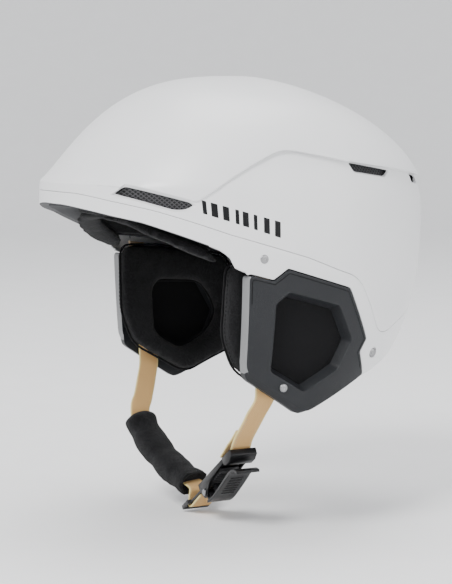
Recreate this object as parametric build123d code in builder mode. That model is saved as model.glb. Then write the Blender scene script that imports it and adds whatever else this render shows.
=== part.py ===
"""Ski helmet: two-piece hard shell, foam liner, fleece lining, ear modules, fit dial and ratchet chin strap.

Frame: +Z up, the face looks along -Y, the wearer's left is +X. The origin is the middle of the head
cavity, in the plane of the fit band. Millimetres.
"""
import os
from math import cos, pi, radians, sin

from build123d import *

# Head form: the outer surface is a stack of level ovals
CROWN_TOP = 120.35          # height of the top above the fit band
HALF_WIDTH = 113.0
FRONT_LENGTH = 137.5
REAR_LENGTH = 132.3
OVAL_POWER = 2.26           # 2 is an ellipse, more is squarer
LIP_HEIGHT = 49.0           # the forehead is upright below this and slopes back above it
WIDEST_HEIGHT = 33.8        # sides and back bulge most here
FORM_BOTTOM = -112.0
OVAL_POINTS = 32
LEVELS_LOW = 8
LEVELS_HIGH = 13

# Wall stack, as depth below the outer surface
SHELL = 2.2
LINER_OUT, LINER_IN = 2.4, 26.0
LINING_OUT, LINING_IN = 26.3, 31.5
BROW_OUT, BROW_IN = 9.5, 35.0
COVER_OUT, COVER_IN = -1.2, 8.0
WEB_OUT, WEB_IN = 8.6, 10.8
PAD_OUT, PAD_IN = 13.0, 28.0
FLANGE_IN, FLANGE_HIGH = 9.0, 2.0
MESH_IN = 4.2
SEAM_GAP = 0.6
EAR_GAP = 0.8
CLEAR = 0.3
FAR = 160.0

# Side-view lines, each point is (y, z)
SEAM = [(-FAR, 45), (-134, 43), (-122, 39), (-102, 33.5), (-83, 27), (-58, 18), (-35, 11), (-5, 2),
        (18.5, -7), (31, -10.5), (37, -15), (46, -31), (55, -48), (60, -51.4), (66, -51.6), (79, -46),
        (95, -41), (118, -37), (FAR, -36)]
BRIM = [(-FAR, 34.5), (-137, 34.5), (-132, 32.5), (-122, 29), (-107.5, 25), (-82, 15), (-72, 11),
        (-65, 8), (-60, 5), (-56, 1), (-54, -4)]
SHELL_EDGE = BRIM + [(-47, -7), (-38, -24), (38, -72), (46.6, -80.4), (56, -78), (69, -73.5),
                     (83, -69.5), (105, -61), (FAR, -56)]
LINER_EDGE = [(y, z + 2.6) for y, z in BRIM[:-2]] + [(-54, 7), (47.5, -8), (50, -66), (FAR, -50)]
LINING_EDGE = [(-FAR, 37), (-100, 26), (-60, 8), (-30, 5), (48, -6), (60, -30), (FAR, -38)]
EAR_OUTLINE = [(-46.7, -7.5), (-29.7, -12.2), (-19.7, -5.1), (27.2, -19.5), (44.3, -54.3),
               (39.3, -62.9), (45.6, -79.2), (-1.3, -101.5), (-46.0, -72.0)]
PAD_OUTLINE = [(-51.0, -1.0), (-20.0, -2.0), (36.0, -11.0), (45.5, -54.0), (43.5, -77.0),
               (-1.3, -97.5), (-44.0, -73.0), (-53.0, -50.0)]
WINDOW = [(-27.7, -27.0), (-18.5, -20.0), (18.6, -30.3), (30.7, -53.9), (21.6, -72.3), (-4.0, -86.3),
          (-29.0, -71.5)]
EAR_HOLLOW = [(-25, -28), (16, -30), (27, -52), (18, -68), (-4, -80), (-26, -67)]
FRONT_VENT = [(-114.3, 48.6), (-119.2, 43.5), (-90, 33.6), (-86, 34.6), (-81.7, 37.7), (-84, 39.5)]
REAR_VENTS = ([(29.8, 62.7), (65, 57), (60.8, 53.3), (32.6, 57)],
              [(93.0, 53.5), (107, 51.4), (105.5, 46.5), (94.0, 47.5)])

# Rivets: (y, z) on the side
TEMPLE_RIVET, REAR_RIVET, COVER_RIVET = (-36, 2.2), (53.8, -65), (-19.3, -82.7)

# Fit dial at the nape
DIAL_Y, DIAL_Z = 89.0, -76.0
PITCH_RADIUS = 4.0
TEETH = 8
TOOTH_STEP = 2 * pi * PITCH_RADIUS / TEETH
RACK_FACE = 5.3
RACK_HIGH = 4.0
BELT_THICK = 1.4

# Chin strap
EXIT_X, EXIT_Y, EXIT_Z = 90.8, -26.0, -91.0
WEB_WIDE, WEB_THICK = 15.0, 1.6
PIN_X, PIN_Y, PIN_Z = 23.8, -27.0, -165.5
BUCKLE_TILT = 34.3
SIDE_IN, SIDE_OUT = 8.0, 9.5


def swell(z, length, power, sharp, widest, low):
    """Semi-length of the level oval at height z."""
    if z > widest:
        up = min((z - widest) / (CROWN_TOP - widest), 1)
        return length * (1 - up**sharp) ** (1 / power)
    down = (widest - z) / low
    return length * (1 - down**2.2) ** (1 / 2.2)


def oval(z, depth):
    """Half width, front and rear semi-lengths of the surface that lies depth below the outside."""
    sizes = []
    for length, power, sharp, widest, low in ((HALF_WIDTH, 2.15, 2.3, WIDEST_HEIGHT, 260.0),
                                              (FRONT_LENGTH, 3.1, 0.75, LIP_HEIGHT, 400.0),
                                              (REAR_LENGTH, 1.43, 1.84, WIDEST_HEIGHT, 152.8)):
        if z > widest:
            z_out = widest + (z - widest) * (CROWN_TOP - widest) / (CROWN_TOP - depth - widest)
            sizes.append(swell(z_out, length, power, sharp, widest, low) * (1 - depth / length))
        else:
            sizes.append(swell(z, length, power, sharp, widest, low) - depth)
    return sizes


def oval_point(z, depth, turn):
    """Point of an oval: turn 0 is the front, 90 the wearer's left, 180 the back."""
    half, front, rear = oval(z, depth)
    s, c = sin(radians(turn)), cos(radians(turn))
    x = half * abs(s) ** (2 / OVAL_POWER) * (1 if s >= 0 else -1)
    y = (-front if c > 0 else rear) * abs(c) ** (2 / OVAL_POWER)
    return x, y


def head_form(depth):
    """Solid bounded by the surface that lies depth below the outside."""
    top = CROWN_TOP - depth
    low = [FORM_BOTTOM + (LIP_HEIGHT - FORM_BOTTOM) * k / LEVELS_LOW for k in range(LEVELS_LOW)]
    high = [LIP_HEIGHT + (top - LIP_HEIGHT) * (1 - (1 - k / LEVELS_HIGH) ** 2.2)
            for k in range(LEVELS_HIGH)]
    with BuildPart() as form:
        for z in low + high + [top - 0.05]:
            with BuildSketch(Plane.XY.offset(z)):
                with BuildLine():
                    Polyline(*[oval_point(z, depth, 360 * (k + 0.5) / OVAL_POINTS)
                               for k in range(OVAL_POINTS)], close=True)
                make_face()
        loft(ruled=True)
    return form.part


def side_prism(points, low=-FAR, high=FAR, round_by=0.0, grow=0.0):
    """A side-view outline carried across the helmet from x = low to x = high."""
    with BuildPart() as prism:
        with BuildSketch(Plane.YZ.offset(low)) as outline:
            with BuildLine():
                Polyline(*points, close=True)
            make_face()
            if round_by:
                fillet(outline.vertices(), round_by)
            if grow:
                offset(amount=grow, kind=Kind.INTERSECTION)
        extrude(amount=high - low)
    return prism.part


def below(line):
    return side_prism(line + [(FAR, -FAR), (-FAR, -FAR)])


def above(line):
    return side_prism(line + [(FAR, FAR), (-FAR, FAR)])


def lowered(line, drop):
    return [(y, z - drop) for y, z in line]


def mirrored(part):
    return mirror(part, about=Plane.YZ)


def save(part, name):
    part.label = name
    export_step(part, f"parts/{name}.step")
    print(f"{name}: {len(part.solids())} solids, {part.volume / 1000:.2f} cm3")


os.makedirs("parts", exist_ok=True)
forms = {depth: head_form(depth) for depth in (COVER_OUT, 0.0, SHELL, LINER_OUT, MESH_IN, 6.2, COVER_IN,
                                               WEB_OUT, WEB_IN, FLANGE_IN, BROW_OUT, PAD_OUT, LINER_IN, LINING_OUT,
                                               PAD_IN, LINING_IN, BROW_IN)}
vent_prisms = [side_prism(FRONT_VENT), *[side_prism(vent) for vent in REAR_VENTS]]
ear_module = side_prism(EAR_OUTLINE, grow=EAR_GAP)

# ---------------------------------------------------------------- shells
with BuildPart() as crown_shell:
    add(forms[0.0])
    add(forms[SHELL], mode=Mode.SUBTRACT)
    add(below(SEAM), mode=Mode.SUBTRACT)
    for prism in vent_prisms:
        add(prism, mode=Mode.SUBTRACT)
save(crown_shell.part, "crown_shell")

with BuildPart() as lower_shell:
    add(forms[0.0])
    add(forms[SHELL], mode=Mode.SUBTRACT)
    add(above(lowered(SEAM, SEAM_GAP)), mode=Mode.SUBTRACT)
    add(below(SHELL_EDGE), mode=Mode.SUBTRACT)
    add(ear_module, mode=Mode.SUBTRACT)
    for prism in vent_prisms[:1]:
        add(prism, mode=Mode.SUBTRACT)
    for y, z in (TEMPLE_RIVET, REAR_RIVET):
        with Locations(Plane(origin=(0, y, z), z_dir=(1, 0, 0))):
            Cylinder(3.3, 2 * FAR, mode=Mode.SUBTRACT)

with BuildPart() as brim_flange:
    add(forms[SHELL])
    add(forms[FLANGE_IN], mode=Mode.SUBTRACT)
    add(below(SHELL_EDGE), mode=Mode.SUBTRACT)
    add(above(lowered(SHELL_EDGE, -FLANGE_HIGH)), mode=Mode.SUBTRACT)
    add(side_prism([(-52, 40), (FAR, 40), (FAR, -FAR), (-52, -FAR)]), mode=Mode.SUBTRACT)
with BuildPart() as lower_shell_whole:
    add(lower_shell.part)
    add(brim_flange.part)
save(lower_shell_whole.part, "lower_shell")

# ---------------------------------------------------------------- liner and lining
with BuildPart() as impact_liner:
    add(forms[LINER_OUT])
    add(forms[LINER_IN], mode=Mode.SUBTRACT)
    add(below(LINER_EDGE), mode=Mode.SUBTRACT)
    for prism in vent_prisms:
        add(prism, mode=Mode.SUBTRACT)
save(impact_liner.part, "impact_liner")

with BuildPart() as brow_pad:
    add(forms[BROW_OUT])
    add(forms[BROW_IN], mode=Mode.SUBTRACT)
    add(above(lowered(BRIM[:-2], 0.3) + [(FAR, -5)]), mode=Mode.SUBTRACT)
    add(below(lowered(BRIM[:-2], 9.5) + [(FAR, -15)]), mode=Mode.SUBTRACT)
    add(side_prism([(-54.5, FAR), (FAR, FAR), (FAR, -FAR), (-54.5, -FAR)]), mode=Mode.SUBTRACT)
save(brow_pad.part, "brow_pad")

with BuildPart() as comfort_lining:
    add(forms[LINING_OUT])
    add(forms[LINING_IN], mode=Mode.SUBTRACT)
    add(below(LINING_EDGE), mode=Mode.SUBTRACT)
save(comfort_lining.part, "comfort_lining")

with BuildPart() as nape_pad:
    add(forms[LINING_OUT])
    add(forms[BROW_IN], mode=Mode.SUBTRACT)
    add(above([(-FAR, -39), (FAR, -39)]), mode=Mode.SUBTRACT)
    add(below([(-FAR, -56), (FAR, -56)]), mode=Mode.SUBTRACT)
    add(side_prism([(62, FAR), (-FAR, FAR), (-FAR, -FAR), (62, -FAR)]), mode=Mode.SUBTRACT)
save(nape_pad.part, "nape_pad")

for name, prism in (("front_vent_mesh", side_prism(FRONT_VENT, grow=-CLEAR)),
                    ("rear_vent_mesh", None)):
    with BuildPart() as vent_mesh:
        if prism:
            add(prism)
        else:
            for vent in REAR_VENTS:
                add(side_prism(vent, grow=-CLEAR))
        add(forms[LINER_OUT], mode=Mode.INTERSECT)
        add(forms[MESH_IN], mode=Mode.SUBTRACT)
    save(vent_mesh.part, name)

# ---------------------------------------------------------------- ear modules
with BuildPart() as ear_cover:
    add(forms[COVER_OUT])
    add(forms[COVER_IN], mode=Mode.SUBTRACT)
    add(side_prism(EAR_OUTLINE, low=50), mode=Mode.INTERSECT)
    add(side_prism(WINDOW, low=50), mode=Mode.SUBTRACT)
    with Locations(Plane(origin=(0, *COVER_RIVET), z_dir=(1, 0, 0))):
        Cylinder(1.6, 2 * FAR, mode=Mode.SUBTRACT)

with BuildPart() as ear_fabric:
    add(forms[6.2])
    add(forms[COVER_IN], mode=Mode.SUBTRACT)
    add(side_prism(WINDOW, low=50, grow=-0.1), mode=Mode.INTERSECT)

with BuildPart() as ear_pad:
    add(forms[PAD_OUT])
    add(forms[PAD_IN], mode=Mode.SUBTRACT)
    add(side_prism(PAD_OUTLINE, low=40, round_by=3), mode=Mode.INTERSECT)
    add(side_prism(EAR_HOLLOW, low=40, round_by=4), mode=Mode.SUBTRACT)

# webbing inside each ear module: a V from the strap exit up to the two shell rivets
with BuildPart() as ear_web:
    add(forms[WEB_OUT])
    add(forms[WEB_IN], mode=Mode.SUBTRACT)
    add(side_prism([(-38, 0.5), (-26, -1.0), (-20, -80), (-30, -80)], low=50), mode=Mode.INTERSECT)

for side, turned in (("left", False), ("right", True)):
    for name, piece in (("ear_cover", ear_cover), ("ear_fabric", ear_fabric), ("ear_pad", ear_pad),
                        ("ear_web", ear_web)):
        save(mirrored(piece.part) if turned else piece.part, f"{name}_{side}")


def rivet(y, z, lift, head_radius, head_high, shank_radius, shank_long):
    """Rivet on the wearer's left, square to x, its head lift outside the shell."""
    half, front, rear = oval(z, 0)
    reach = front if y < 0 else rear
    x = half * (1 - abs(y / reach) ** OVAL_POWER) ** (1 / OVAL_POWER) + lift
    with BuildPart() as one:
        with Locations(Plane(origin=(x, y, z), z_dir=(-1, 0, 0))):
            Cylinder(head_radius, head_high, align=(Align.CENTER, Align.CENTER, Align.MIN))
            Cylinder(shank_radius, shank_long, align=(Align.CENTER, Align.CENTER, Align.MIN))
    return one.part


for name, place, lift, head_radius, head_high, shank_long in (
        ("temple_rivets", TEMPLE_RIVET, 0.2, 3.1, 2.0, 2.2),
        ("rear_rivets", REAR_RIVET, 0.0, 3.0, 1.4, 1.6),
        ("cover_rivets", COVER_RIVET, 2.7, 2.8, 1.0, 8.0)):
    near = rivet(*place, lift, head_radius, head_high, 1.5, shank_long)
    with BuildPart() as pair:
        add(near)
        add(mirrored(near))
    save(pair.part, name)


# ---------------------------------------------------------------- fit dial at the nape
def block(x_span, y_span, z_span):
    """Plain box between two values on each axis."""
    spans = [sorted(span) for span in (x_span, y_span, z_span)]
    return Pos(*[(low + high) / 2 for low, high in spans]) * Box(*[high - low for low, high in spans])


rack_slot = (DIAL_Y - 2.0, DIAL_Y + 1.0)
slot_near, slot_far = RACK_FACE - 2.6, RACK_FACE + RACK_HIGH + CLEAR
facing_back = Plane(origin=(0, DIAL_Y, DIAL_Z), x_dir=(1, 0, 0), z_dir=(0, 1, 0))

housing_block = block((-24, 24), (DIAL_Y - 4, DIAL_Y + 3), (DIAL_Z - 13, DIAL_Z + 13))
hanger_block = block((-9, 9), (DIAL_Y - 3.6, DIAL_Y + 2.6), (DIAL_Z + 12, -61.2))
rack_slots = [block((-30, 30), rack_slot, (DIAL_Z + up * slot_near, DIAL_Z + up * slot_far))
              for up in (1, -1)]
with BuildPart() as dial_housing:
    add(housing_block)
    fillet(dial_housing.edges().filter_by(Axis.Y), 4)
    add(hanger_block)
    for slot in rack_slots:
        add(slot, mode=Mode.SUBTRACT)
    with Locations(facing_back.offset(-0.5)):
        Cylinder(6.0, 3.0, mode=Mode.SUBTRACT)
        Cylinder(2.1, 40, mode=Mode.SUBTRACT)
save(dial_housing.part, "dial_housing")

with BuildPart() as dial_knob:
    with BuildSketch(facing_back.offset(3.4)):
        Circle(13)
        with PolarLocations(13.9, 18):
            Circle(1.7, mode=Mode.SUBTRACT)
    extrude(amount=7)
save(dial_knob.part, "dial_knob")

with BuildPart() as dial_pinion:
    with BuildSketch(facing_back.offset(-1.7)):
        Circle(2.8)
        for k in range(TEETH):
            with BuildLine():
                Polyline(*[Vector(*corner).rotate(Axis.Z, 360 * k / TEETH) for corner in
                           ((2.4, -0.75), (4.9, -0.3), (4.9, 0.3), (2.4, 0.75))], close=True)
            make_face()
    extrude(amount=2.4)
    with Locations(facing_back.offset(-1.7)):
        Cylinder(2.0, 5.0, align=(Align.CENTER, Align.CENTER, Align.MIN))
save(dial_pinion.part, "dial_pinion")


def fit_belt(side):
    """Rack above (left belt) or below (right belt) the pinion, and the band round the nape."""
    y = DIAL_Y - 0.5
    face, back = DIAL_Z + side * RACK_FACE, DIAL_Z + side * (RACK_FACE + RACK_HIGH)
    bar = block((-side * 15, side * 31), (y - BELT_THICK / 2, y + BELT_THICK / 2), (face, back))
    with BuildPart() as belt:
        add(bar)
        with BuildSketch(Plane.XZ.offset(-y)):
            for k in range(-4, 4):
                x = (k + 0.5) * TOOTH_STEP
                with BuildLine():
                    Polyline((x - 0.7, face), (x, face - side * 1.8), (x + 0.7, face), close=True)
                make_face()
        extrude(amount=BELT_THICK / 2, both=True)
        with BuildSketch(Plane.XY.offset(min(face, back))):
            with BuildLine() as path:
                run = Line((side * 30, y), (side * 38, y))
                TangentArc(run @ 1, (side * 64, 56), tangent=run % 1)
                offset(amount=BELT_THICK / 2, side=Side.BOTH)
            make_face()
        extrude(amount=RACK_HIGH)
    return belt.part


save(fit_belt(1), "fit_belt_left")
save(fit_belt(-1), "fit_belt_right")

# ---------------------------------------------------------------- goggle strap clip at the back
HINGE_Y, HINGE_Z = 131.6, -14.5
hinge_axis = Plane(origin=(0, HINGE_Y, HINGE_Z), z_dir=(1, 0, 0))
clip_pad = block((-11, 11), (60, 140), (-50, -9))
clip_lugs = [block((side * 8, side * 11), (120, HINGE_Y + 2.4), (HINGE_Z - 3, HINGE_Z + 3))
             for side in (1, -1)]
with BuildPart() as clip_base:
    add(forms[COVER_OUT])
    add(clip_pad, mode=Mode.INTERSECT)
    for lug in clip_lugs:
        add(lug)
    add(forms[0.0], mode=Mode.SUBTRACT)
    with Locations(hinge_axis):
        Cylinder(1.22, 40, mode=Mode.SUBTRACT)
save(clip_base.part, "clip_base")

with BuildPart() as clip_pin:
    with Locations(hinge_axis):
        Cylinder(1.2, 22)
save(clip_pin.part, "clip_pin")

with BuildPart() as goggle_clip:
    with BuildSketch(Plane.YZ):
        with Locations((HINGE_Y, HINGE_Z)):
            Circle(2.4)
        with BuildLine():
            Polyline((131.0, -14.5), (134.0, -14.5), (132.2, -30), (128.0, -44), (124.8, -50.5),
                     (121.2, -50.5), (122.0, -48.6), (124.6, -47.5), (129.6, -30), close=True)
        make_face()
        with Locations((HINGE_Y, HINGE_Z)):
            Circle(1.28, mode=Mode.SUBTRACT)
    extrude(amount=7.7, both=True)
save(goggle_clip.part, "goggle_clip")

# ---------------------------------------------------------------- chin strap
tilt = radians(BUCKLE_TILT)
buckle_side = Plane(origin=(PIN_X, PIN_Y, PIN_Z), x_dir=(cos(tilt), 0, sin(tilt)), z_dir=(0, 1, 0))


def on_buckle(x, out, y=0.0):
    """Place x along the buckle from its pin, out from the chin and y backwards."""
    return (PIN_X + x * cos(tilt) + out * sin(tilt), PIN_Y + y, PIN_Z + x * sin(tilt) - out * cos(tilt))


def webbing(places, steps, width=WEB_WIDE, thickness=WEB_THICK, oval_section=False):
    """Flat webbing, or an oval sleeve, along a smooth route; its width runs front to back."""
    with BuildLine(Plane.XY) as line:
        Spline(*places)
    route = line.edges()[0]
    with BuildPart() as web:
        for k in range(steps + 1):
            with BuildSketch(Plane(origin=route @ (k / steps), x_dir=(0, 1, 0), z_dir=route % (k / steps))):
                if oval_section:
                    Ellipse(width / 2, thickness / 2)
                else:
                    Rectangle(width, thickness)
        loft(ruled=not oval_section)
    return web.part


save(webbing([(92.3, -26, -84), (90.6, -26, -92), (80, -26, -102.7), (70.5, -26.3, -113.4),
              (63, -26.8, -122), on_buckle(48.6, -9.6)], 14), "strap_left")
save(webbing([(65.3, -26.6, -116.5), (57.5, -27, -124.5), (49.5, -27, -131.5), (43, -27, -137.5)], 6),
     "strap_left_tail")
save(webbing([(-92.3, -26, -84), (-90.8, -26.6, -92), (-89, -29.5, -102.8), (-85.7, -33.4, -114.5),
              (-82.6, -37.2, -121.0)], 10), "strap_right")

PAD_ROUTE = [(-80, -40, -126), (-70, -38, -139), (-56, -35.2, -149.6), (-40, -32.6, -158),
             (-24, -30, -163.5), (-10, -27, -167)]
with BuildPart() as chin_pad:
    add(webbing(PAD_ROUTE, 8, width=22, thickness=17, oval_section=True))
    add(webbing([(-80.9, -40.9, -124.9)] + PAD_ROUTE + [(-9, -26.8, -167.1)], 14, width=16.5,
                thickness=3.6), mode=Mode.SUBTRACT)
save(chin_pad.part, "chin_pad")

save(webbing(PAD_ROUTE[1:] + [on_buckle(-25.5, -13.5), on_buckle(-29.5, -9.5), on_buckle(-33.4, -5.0),
                          on_buckle(-30, -2.6), on_buckle(-22, -2.8), on_buckle(-12, -2.9)], 40),
     "strap_chin")

SLOT_HALF = 8.2
with BuildPart() as buckle_body:
    with BuildSketch(buckle_side):
        with BuildLine():
            Polyline((-7, -8.6), (37, -8.6), (37, -7.1), (-7, -7.1), close=True)
        make_face()
    extrude(amount=SIDE_OUT, both=True)
    for low in (-SIDE_OUT, SIDE_IN):
        with BuildSketch(buckle_side.offset(low)):
            with BuildLine():
                Polyline((-7, -8.6), (37, -8.6), (37, -5.5), (12, -3.8), (4.2, 0.5), (2.2, 3.4),
                         (-2.2, 3.4), (-4.4, 0.5), (-7, -5), close=True)
            make_face()
            Circle(1.02, mode=Mode.SUBTRACT)
        extrude(amount=SIDE_OUT - SIDE_IN)
save(buckle_body.part, "buckle_body")

with BuildPart() as buckle_pin:
    with Locations(buckle_side):
        Cylinder(1.0, 2 * SIDE_OUT + 0.6)
        for side in (1, -1):
            with Locations((0, 0, side * (SIDE_OUT + 0.6))):
                Cylinder(2.4, 0.8)
save(buckle_pin.part, "buckle_pin")

with BuildPart() as lever_coil:
    with BuildLine():
        coil = Helix(pitch=1.1, height=4.4, radius=1.6)
    with BuildSketch(Plane(origin=coil @ 0, z_dir=coil % 0)):
        Circle(0.3)
    sweep()
save(buckle_side.offset(-2.2).location * lever_coil.part, "lever_spring")

with BuildPart() as buckle_lever:
    with BuildSketch(buckle_side):
        with BuildLine():
            outer = Spline((-1.5, 5.2), (3, 5.9), (10, 5.8), (18, 5.0), (32, 3.2), (41, 2.4), (46.5, 3.6),
                           (51, 7.2))
            inner = Spline((50.2, 8.6), (45.4, 5.2), (41, 4.2), (32, 5.0), (18, 6.8), (10, 7.6), (3, 7.7),
                           (-2.2, 6.8))
            Line(outer @ 1, inner @ 0)
            Line(inner @ 1, outer @ 0)
        make_face()
    extrude(amount=8.6, both=True)
    for low in (-7.7, 2.9):
        with BuildSketch(buckle_side.offset(low)):
            Circle(2.35)
            with BuildLine():
                Polyline((-2.2, 0.2), (-1.6, 5.8), (6, 6.2), (2.3, 0.2), close=True)
            make_face()
            Circle(1.07, mode=Mode.SUBTRACT)
        extrude(amount=4.8)
    with BuildSketch(buckle_side):
        with BuildLine():
            Polyline((7.5, 6.6), (12.5, 6.2), (9.6, -2.4), (8.4, -2.4), close=True)
        make_face()
    extrude(amount=6, both=True)
save(buckle_lever.part, "buckle_lever")

with BuildPart() as strap_adjuster:
    with BuildSketch(buckle_side):
        with BuildLine():
            Polyline((37.4, -8.6), (38, -3.4), (41, -2.0), (47, -2.0), (52, -4.2), (52, -8.6), close=True)
        make_face()
    extrude(amount=10, both=True)
    with BuildSketch(buckle_side):
        with BuildLine():
            Polyline((40.4, -9), (40.4, -4.6), (43.6, -4.6), (43.6, -9), close=True)
        make_face()
        with BuildLine():
            Polyline((46, -9), (46, -4.6), (49.4, -4.6), (49.4, -9), close=True)
        make_face()
    extrude(amount=SLOT_HALF, both=True, mode=Mode.SUBTRACT)
save(strap_adjuster.part, "strap_adjuster")

with BuildPart() as ladder:
    with BuildSketch(buckle_side):
        with BuildLine():
            Polyline((-29.8, -6.2), (26, -6.2), (27.5, -5.4), (26, -4.5), (-29.8, -4.5), close=True)
        make_face()
        for k in range(9):
            x = -2.5 + 3.2 * k
            with BuildLine():
                Polyline((x - 1.3, -4.6), (x + 1.2, -2.9), (x + 1.6, -2.9), (x + 1.6, -4.6), close=True)
            make_face()
    extrude(amount=6.9, both=True)
    with BuildSketch(buckle_side):
        with BuildLine():
            Polyline((-39.5, -6.8), (-28.8, -6.8), (-28.8, -4.2), (-39.5, -4.2), close=True)
        make_face()
        for k in range(3):
            with Locations((-38.6 + 0.9 * k, -4.0)):
                Circle(0.4)
    extrude(amount=9.8, both=True)
    with BuildSketch(buckle_side):
        with BuildLine():
            Polyline((-36.2, -8), (-30.6, -8), (-30.6, -2), (-36.2, -2), close=True)
        make_face()
    extrude(amount=SLOT_HALF, both=True, mode=Mode.SUBTRACT)
save(ladder.part, "ladder")
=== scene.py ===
# %% [markdown]
# # Ski helmet
# A hard-shell ski helmet, dressed around its packed design. The shells, pads and straps are made
# here as finished meshes; the small moulded parts keep the shape they were designed with and get
# rounded edges. Lengths in lists are in millimetres and are turned to metres when a mesh is
# made.

# %% Load the fixed frame
import bpy
import bmesh
import numpy as np
from math import cos, pi, radians, sin
from mathutils import Matrix, Vector, noise
from mathutils.geometry import delaunay_2d_cdt


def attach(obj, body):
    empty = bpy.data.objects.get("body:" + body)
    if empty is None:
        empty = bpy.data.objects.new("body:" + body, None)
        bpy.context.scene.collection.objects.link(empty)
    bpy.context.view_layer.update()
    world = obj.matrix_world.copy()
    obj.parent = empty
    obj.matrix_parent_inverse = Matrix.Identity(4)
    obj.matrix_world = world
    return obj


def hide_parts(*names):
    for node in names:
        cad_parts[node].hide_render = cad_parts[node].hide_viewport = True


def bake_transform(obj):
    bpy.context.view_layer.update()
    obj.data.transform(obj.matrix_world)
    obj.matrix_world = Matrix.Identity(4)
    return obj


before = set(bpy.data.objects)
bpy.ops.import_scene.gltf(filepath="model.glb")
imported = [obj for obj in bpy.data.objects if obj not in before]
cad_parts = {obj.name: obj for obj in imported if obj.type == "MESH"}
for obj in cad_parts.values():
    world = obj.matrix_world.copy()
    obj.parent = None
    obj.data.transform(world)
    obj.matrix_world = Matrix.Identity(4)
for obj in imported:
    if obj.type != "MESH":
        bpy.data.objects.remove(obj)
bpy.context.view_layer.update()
MM = 0.001

# %% [markdown]
# ## The head surface
# Every large piece of a helmet follows one surface, so that surface is a formula. A level cut is
# a rounded oval with its own front, rear and side sizes, and those sizes shrink towards the
# crown. A depth moves the surface inwards, which gives shell, foam and lining from the same few
# numbers. A formula was chosen over sculpting because all the pieces then fit each other
# exactly.

# %% Head surface
CROWN_TOP = 120.35
OVAL_POWER = 2.26
SHELL_THICK = 2.2
WIDEST = 33.8
UNDER_POWER = 2.2
# length, roundness, sharpness, height where it is longest, drop below that
SIDE = (113.0, 2.15, 2.3, WIDEST, 260.0)
FRONT = (137.5, 3.1, 0.75, 49.0, 400.0)
REAR = (132.3, 1.43, 1.84, WIDEST, 152.8)


def reach(z, depth, length, power, sharp, widest, low):
    """How far the surface stands out at height z, for one of the three directions."""
    stretched = widest + (z - widest) * (CROWN_TOP - widest) / (CROWN_TOP - depth - widest)
    up = np.clip((stretched - widest) / (CROWN_TOP - widest), 0, 1)
    down = np.clip((widest - z) / low, 0, 1)
    above = length * (1 - up**sharp) ** (1 / power) * (1 - depth / length)
    return np.where(z > widest, above,
                    length * (1 - down**UNDER_POWER) ** (1 / UNDER_POWER) - depth)


def skin(turn, z, depth=0.0):
    """Surface point from a turn in degrees (0 front, 90 wearer's left, 180 back) and a height."""
    turn, z, depth = np.broadcast_arrays(np.asarray(turn, float), np.asarray(z, float), depth)
    s, c = np.sin(np.radians(turn)), np.cos(np.radians(turn))
    x = reach(z, depth, *SIDE) * np.sign(s) * np.abs(s) ** (2 / OVAL_POWER)
    along = np.where(c > 0, -reach(z, depth, *FRONT), reach(z, depth, *REAR))
    return np.stack([x, along * np.abs(c) ** (2 / OVAL_POWER), z], -1)


def flank(y, z, depth=0.0):
    """Surface point on the wearer's left, from its place in a side view."""
    y, z, depth = np.broadcast_arrays(np.asarray(y, float), np.asarray(z, float), depth)
    length = np.where(y < 0, reach(z, depth, *FRONT), reach(z, depth, *REAR))
    x = reach(z, depth, *SIDE) * np.clip(1 - np.abs(y / length) ** OVAL_POWER, 0,
                                         1) ** (1 / OVAL_POWER)
    return np.stack([x, y, z], -1)


def height_on(line, turn, depth=0.0):
    """Height where a side-view line of (y, z) points crosses the surface at each turn."""
    turn = np.asarray(turn, float)
    ys, zs = np.array(line, float).T
    z = np.full(turn.shape, 20.0)
    for _ in range(60):
        z = 0.5 * z + 0.5 * np.interp(skin(turn, z, depth)[..., 1], ys, zs)
    return z


print("top of the shell:", skin(0, CROWN_TOP)[2], "mm")
print("half width at the temples:", round(float(skin(90, WIDEST)[0]), 1), "mm")

# %% [markdown]
# ## Lines drawn on the helmet
# The designer's lines are seen from the side: the seam between crown and lower shell, the brim,
# the ledge above the side panel, the ear cover and its window, and the vents. Each is a short
# list of (y, z) corners.

# %% Side-view lines
SEAM = [(-160, 45), (-134, 43), (-122, 39), (-102, 33.5), (-83, 27), (-58, 18), (-35, 11), (-5, 2),
        (18.5, -7), (30, -10.8), (37, -16), (46, -31), (54, -47), (58, -50.6), (62.5, -51.8),
        (68, -50.6),
        (79, -46), (95, -41), (118, -37), (160, -36)]
BRIM = [(-160, 34.5), (-137, 34.5), (-132, 32.5), (-122, 29), (-107.5, 25), (-82, 15), (-72, 11),
        (-65, 8), (-60, 4.6), (-56.5, 0.6), (-55, -4)]
LEDGE = [(-160, 49), (-128, 49), (-118, 47.5), (-100, 43), (-78, 39.2), (-58, 53), (-43, 61.7),
         (-28, 69.0),
         (-20, 71.2), (-12, 70.8), (12, 66.5), (27.7, 63.3), (70.5, 57.9), (93, 54.4), (111, 52),
         (160, 50)]
EAR = [(-46.7, -7.5), (-29.7, -12.2), (-19.7, -5.1), (27.2, -19.5), (44.3, -54.3), (39.3, -62.9),
       (45.6, -79.2), (-1.3, -101.5), (-46.0, -72.0)]
WINDOW = [(-27.7, -27.0), (-18.5, -20.0), (18.6, -30.3), (30.7, -53.9), (21.6, -72.3),
          (-4.0, -86.3),
          (-29.0, -71.5)]
PAD = [(-51.0, -1.5), (-20.0, -2.5), (36.0, -11.5), (45.0, -54.0), (43.0, -76.0), (-1.3, -97.0),
       (-43.5, -73.0), (-52.5, -50.0)]
EAR_HOLLOW = [(-25, -28), (16, -30), (27, -52), (18, -68), (-4, -80), (-26, -67)]
FRONT_VENT = [(-114.3, 48.6), (-119.2, 43.5), (-90, 33.6), (-83.5, 33.8), (-78.4, 36.6),
              (-81.2, 38.8)]
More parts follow.
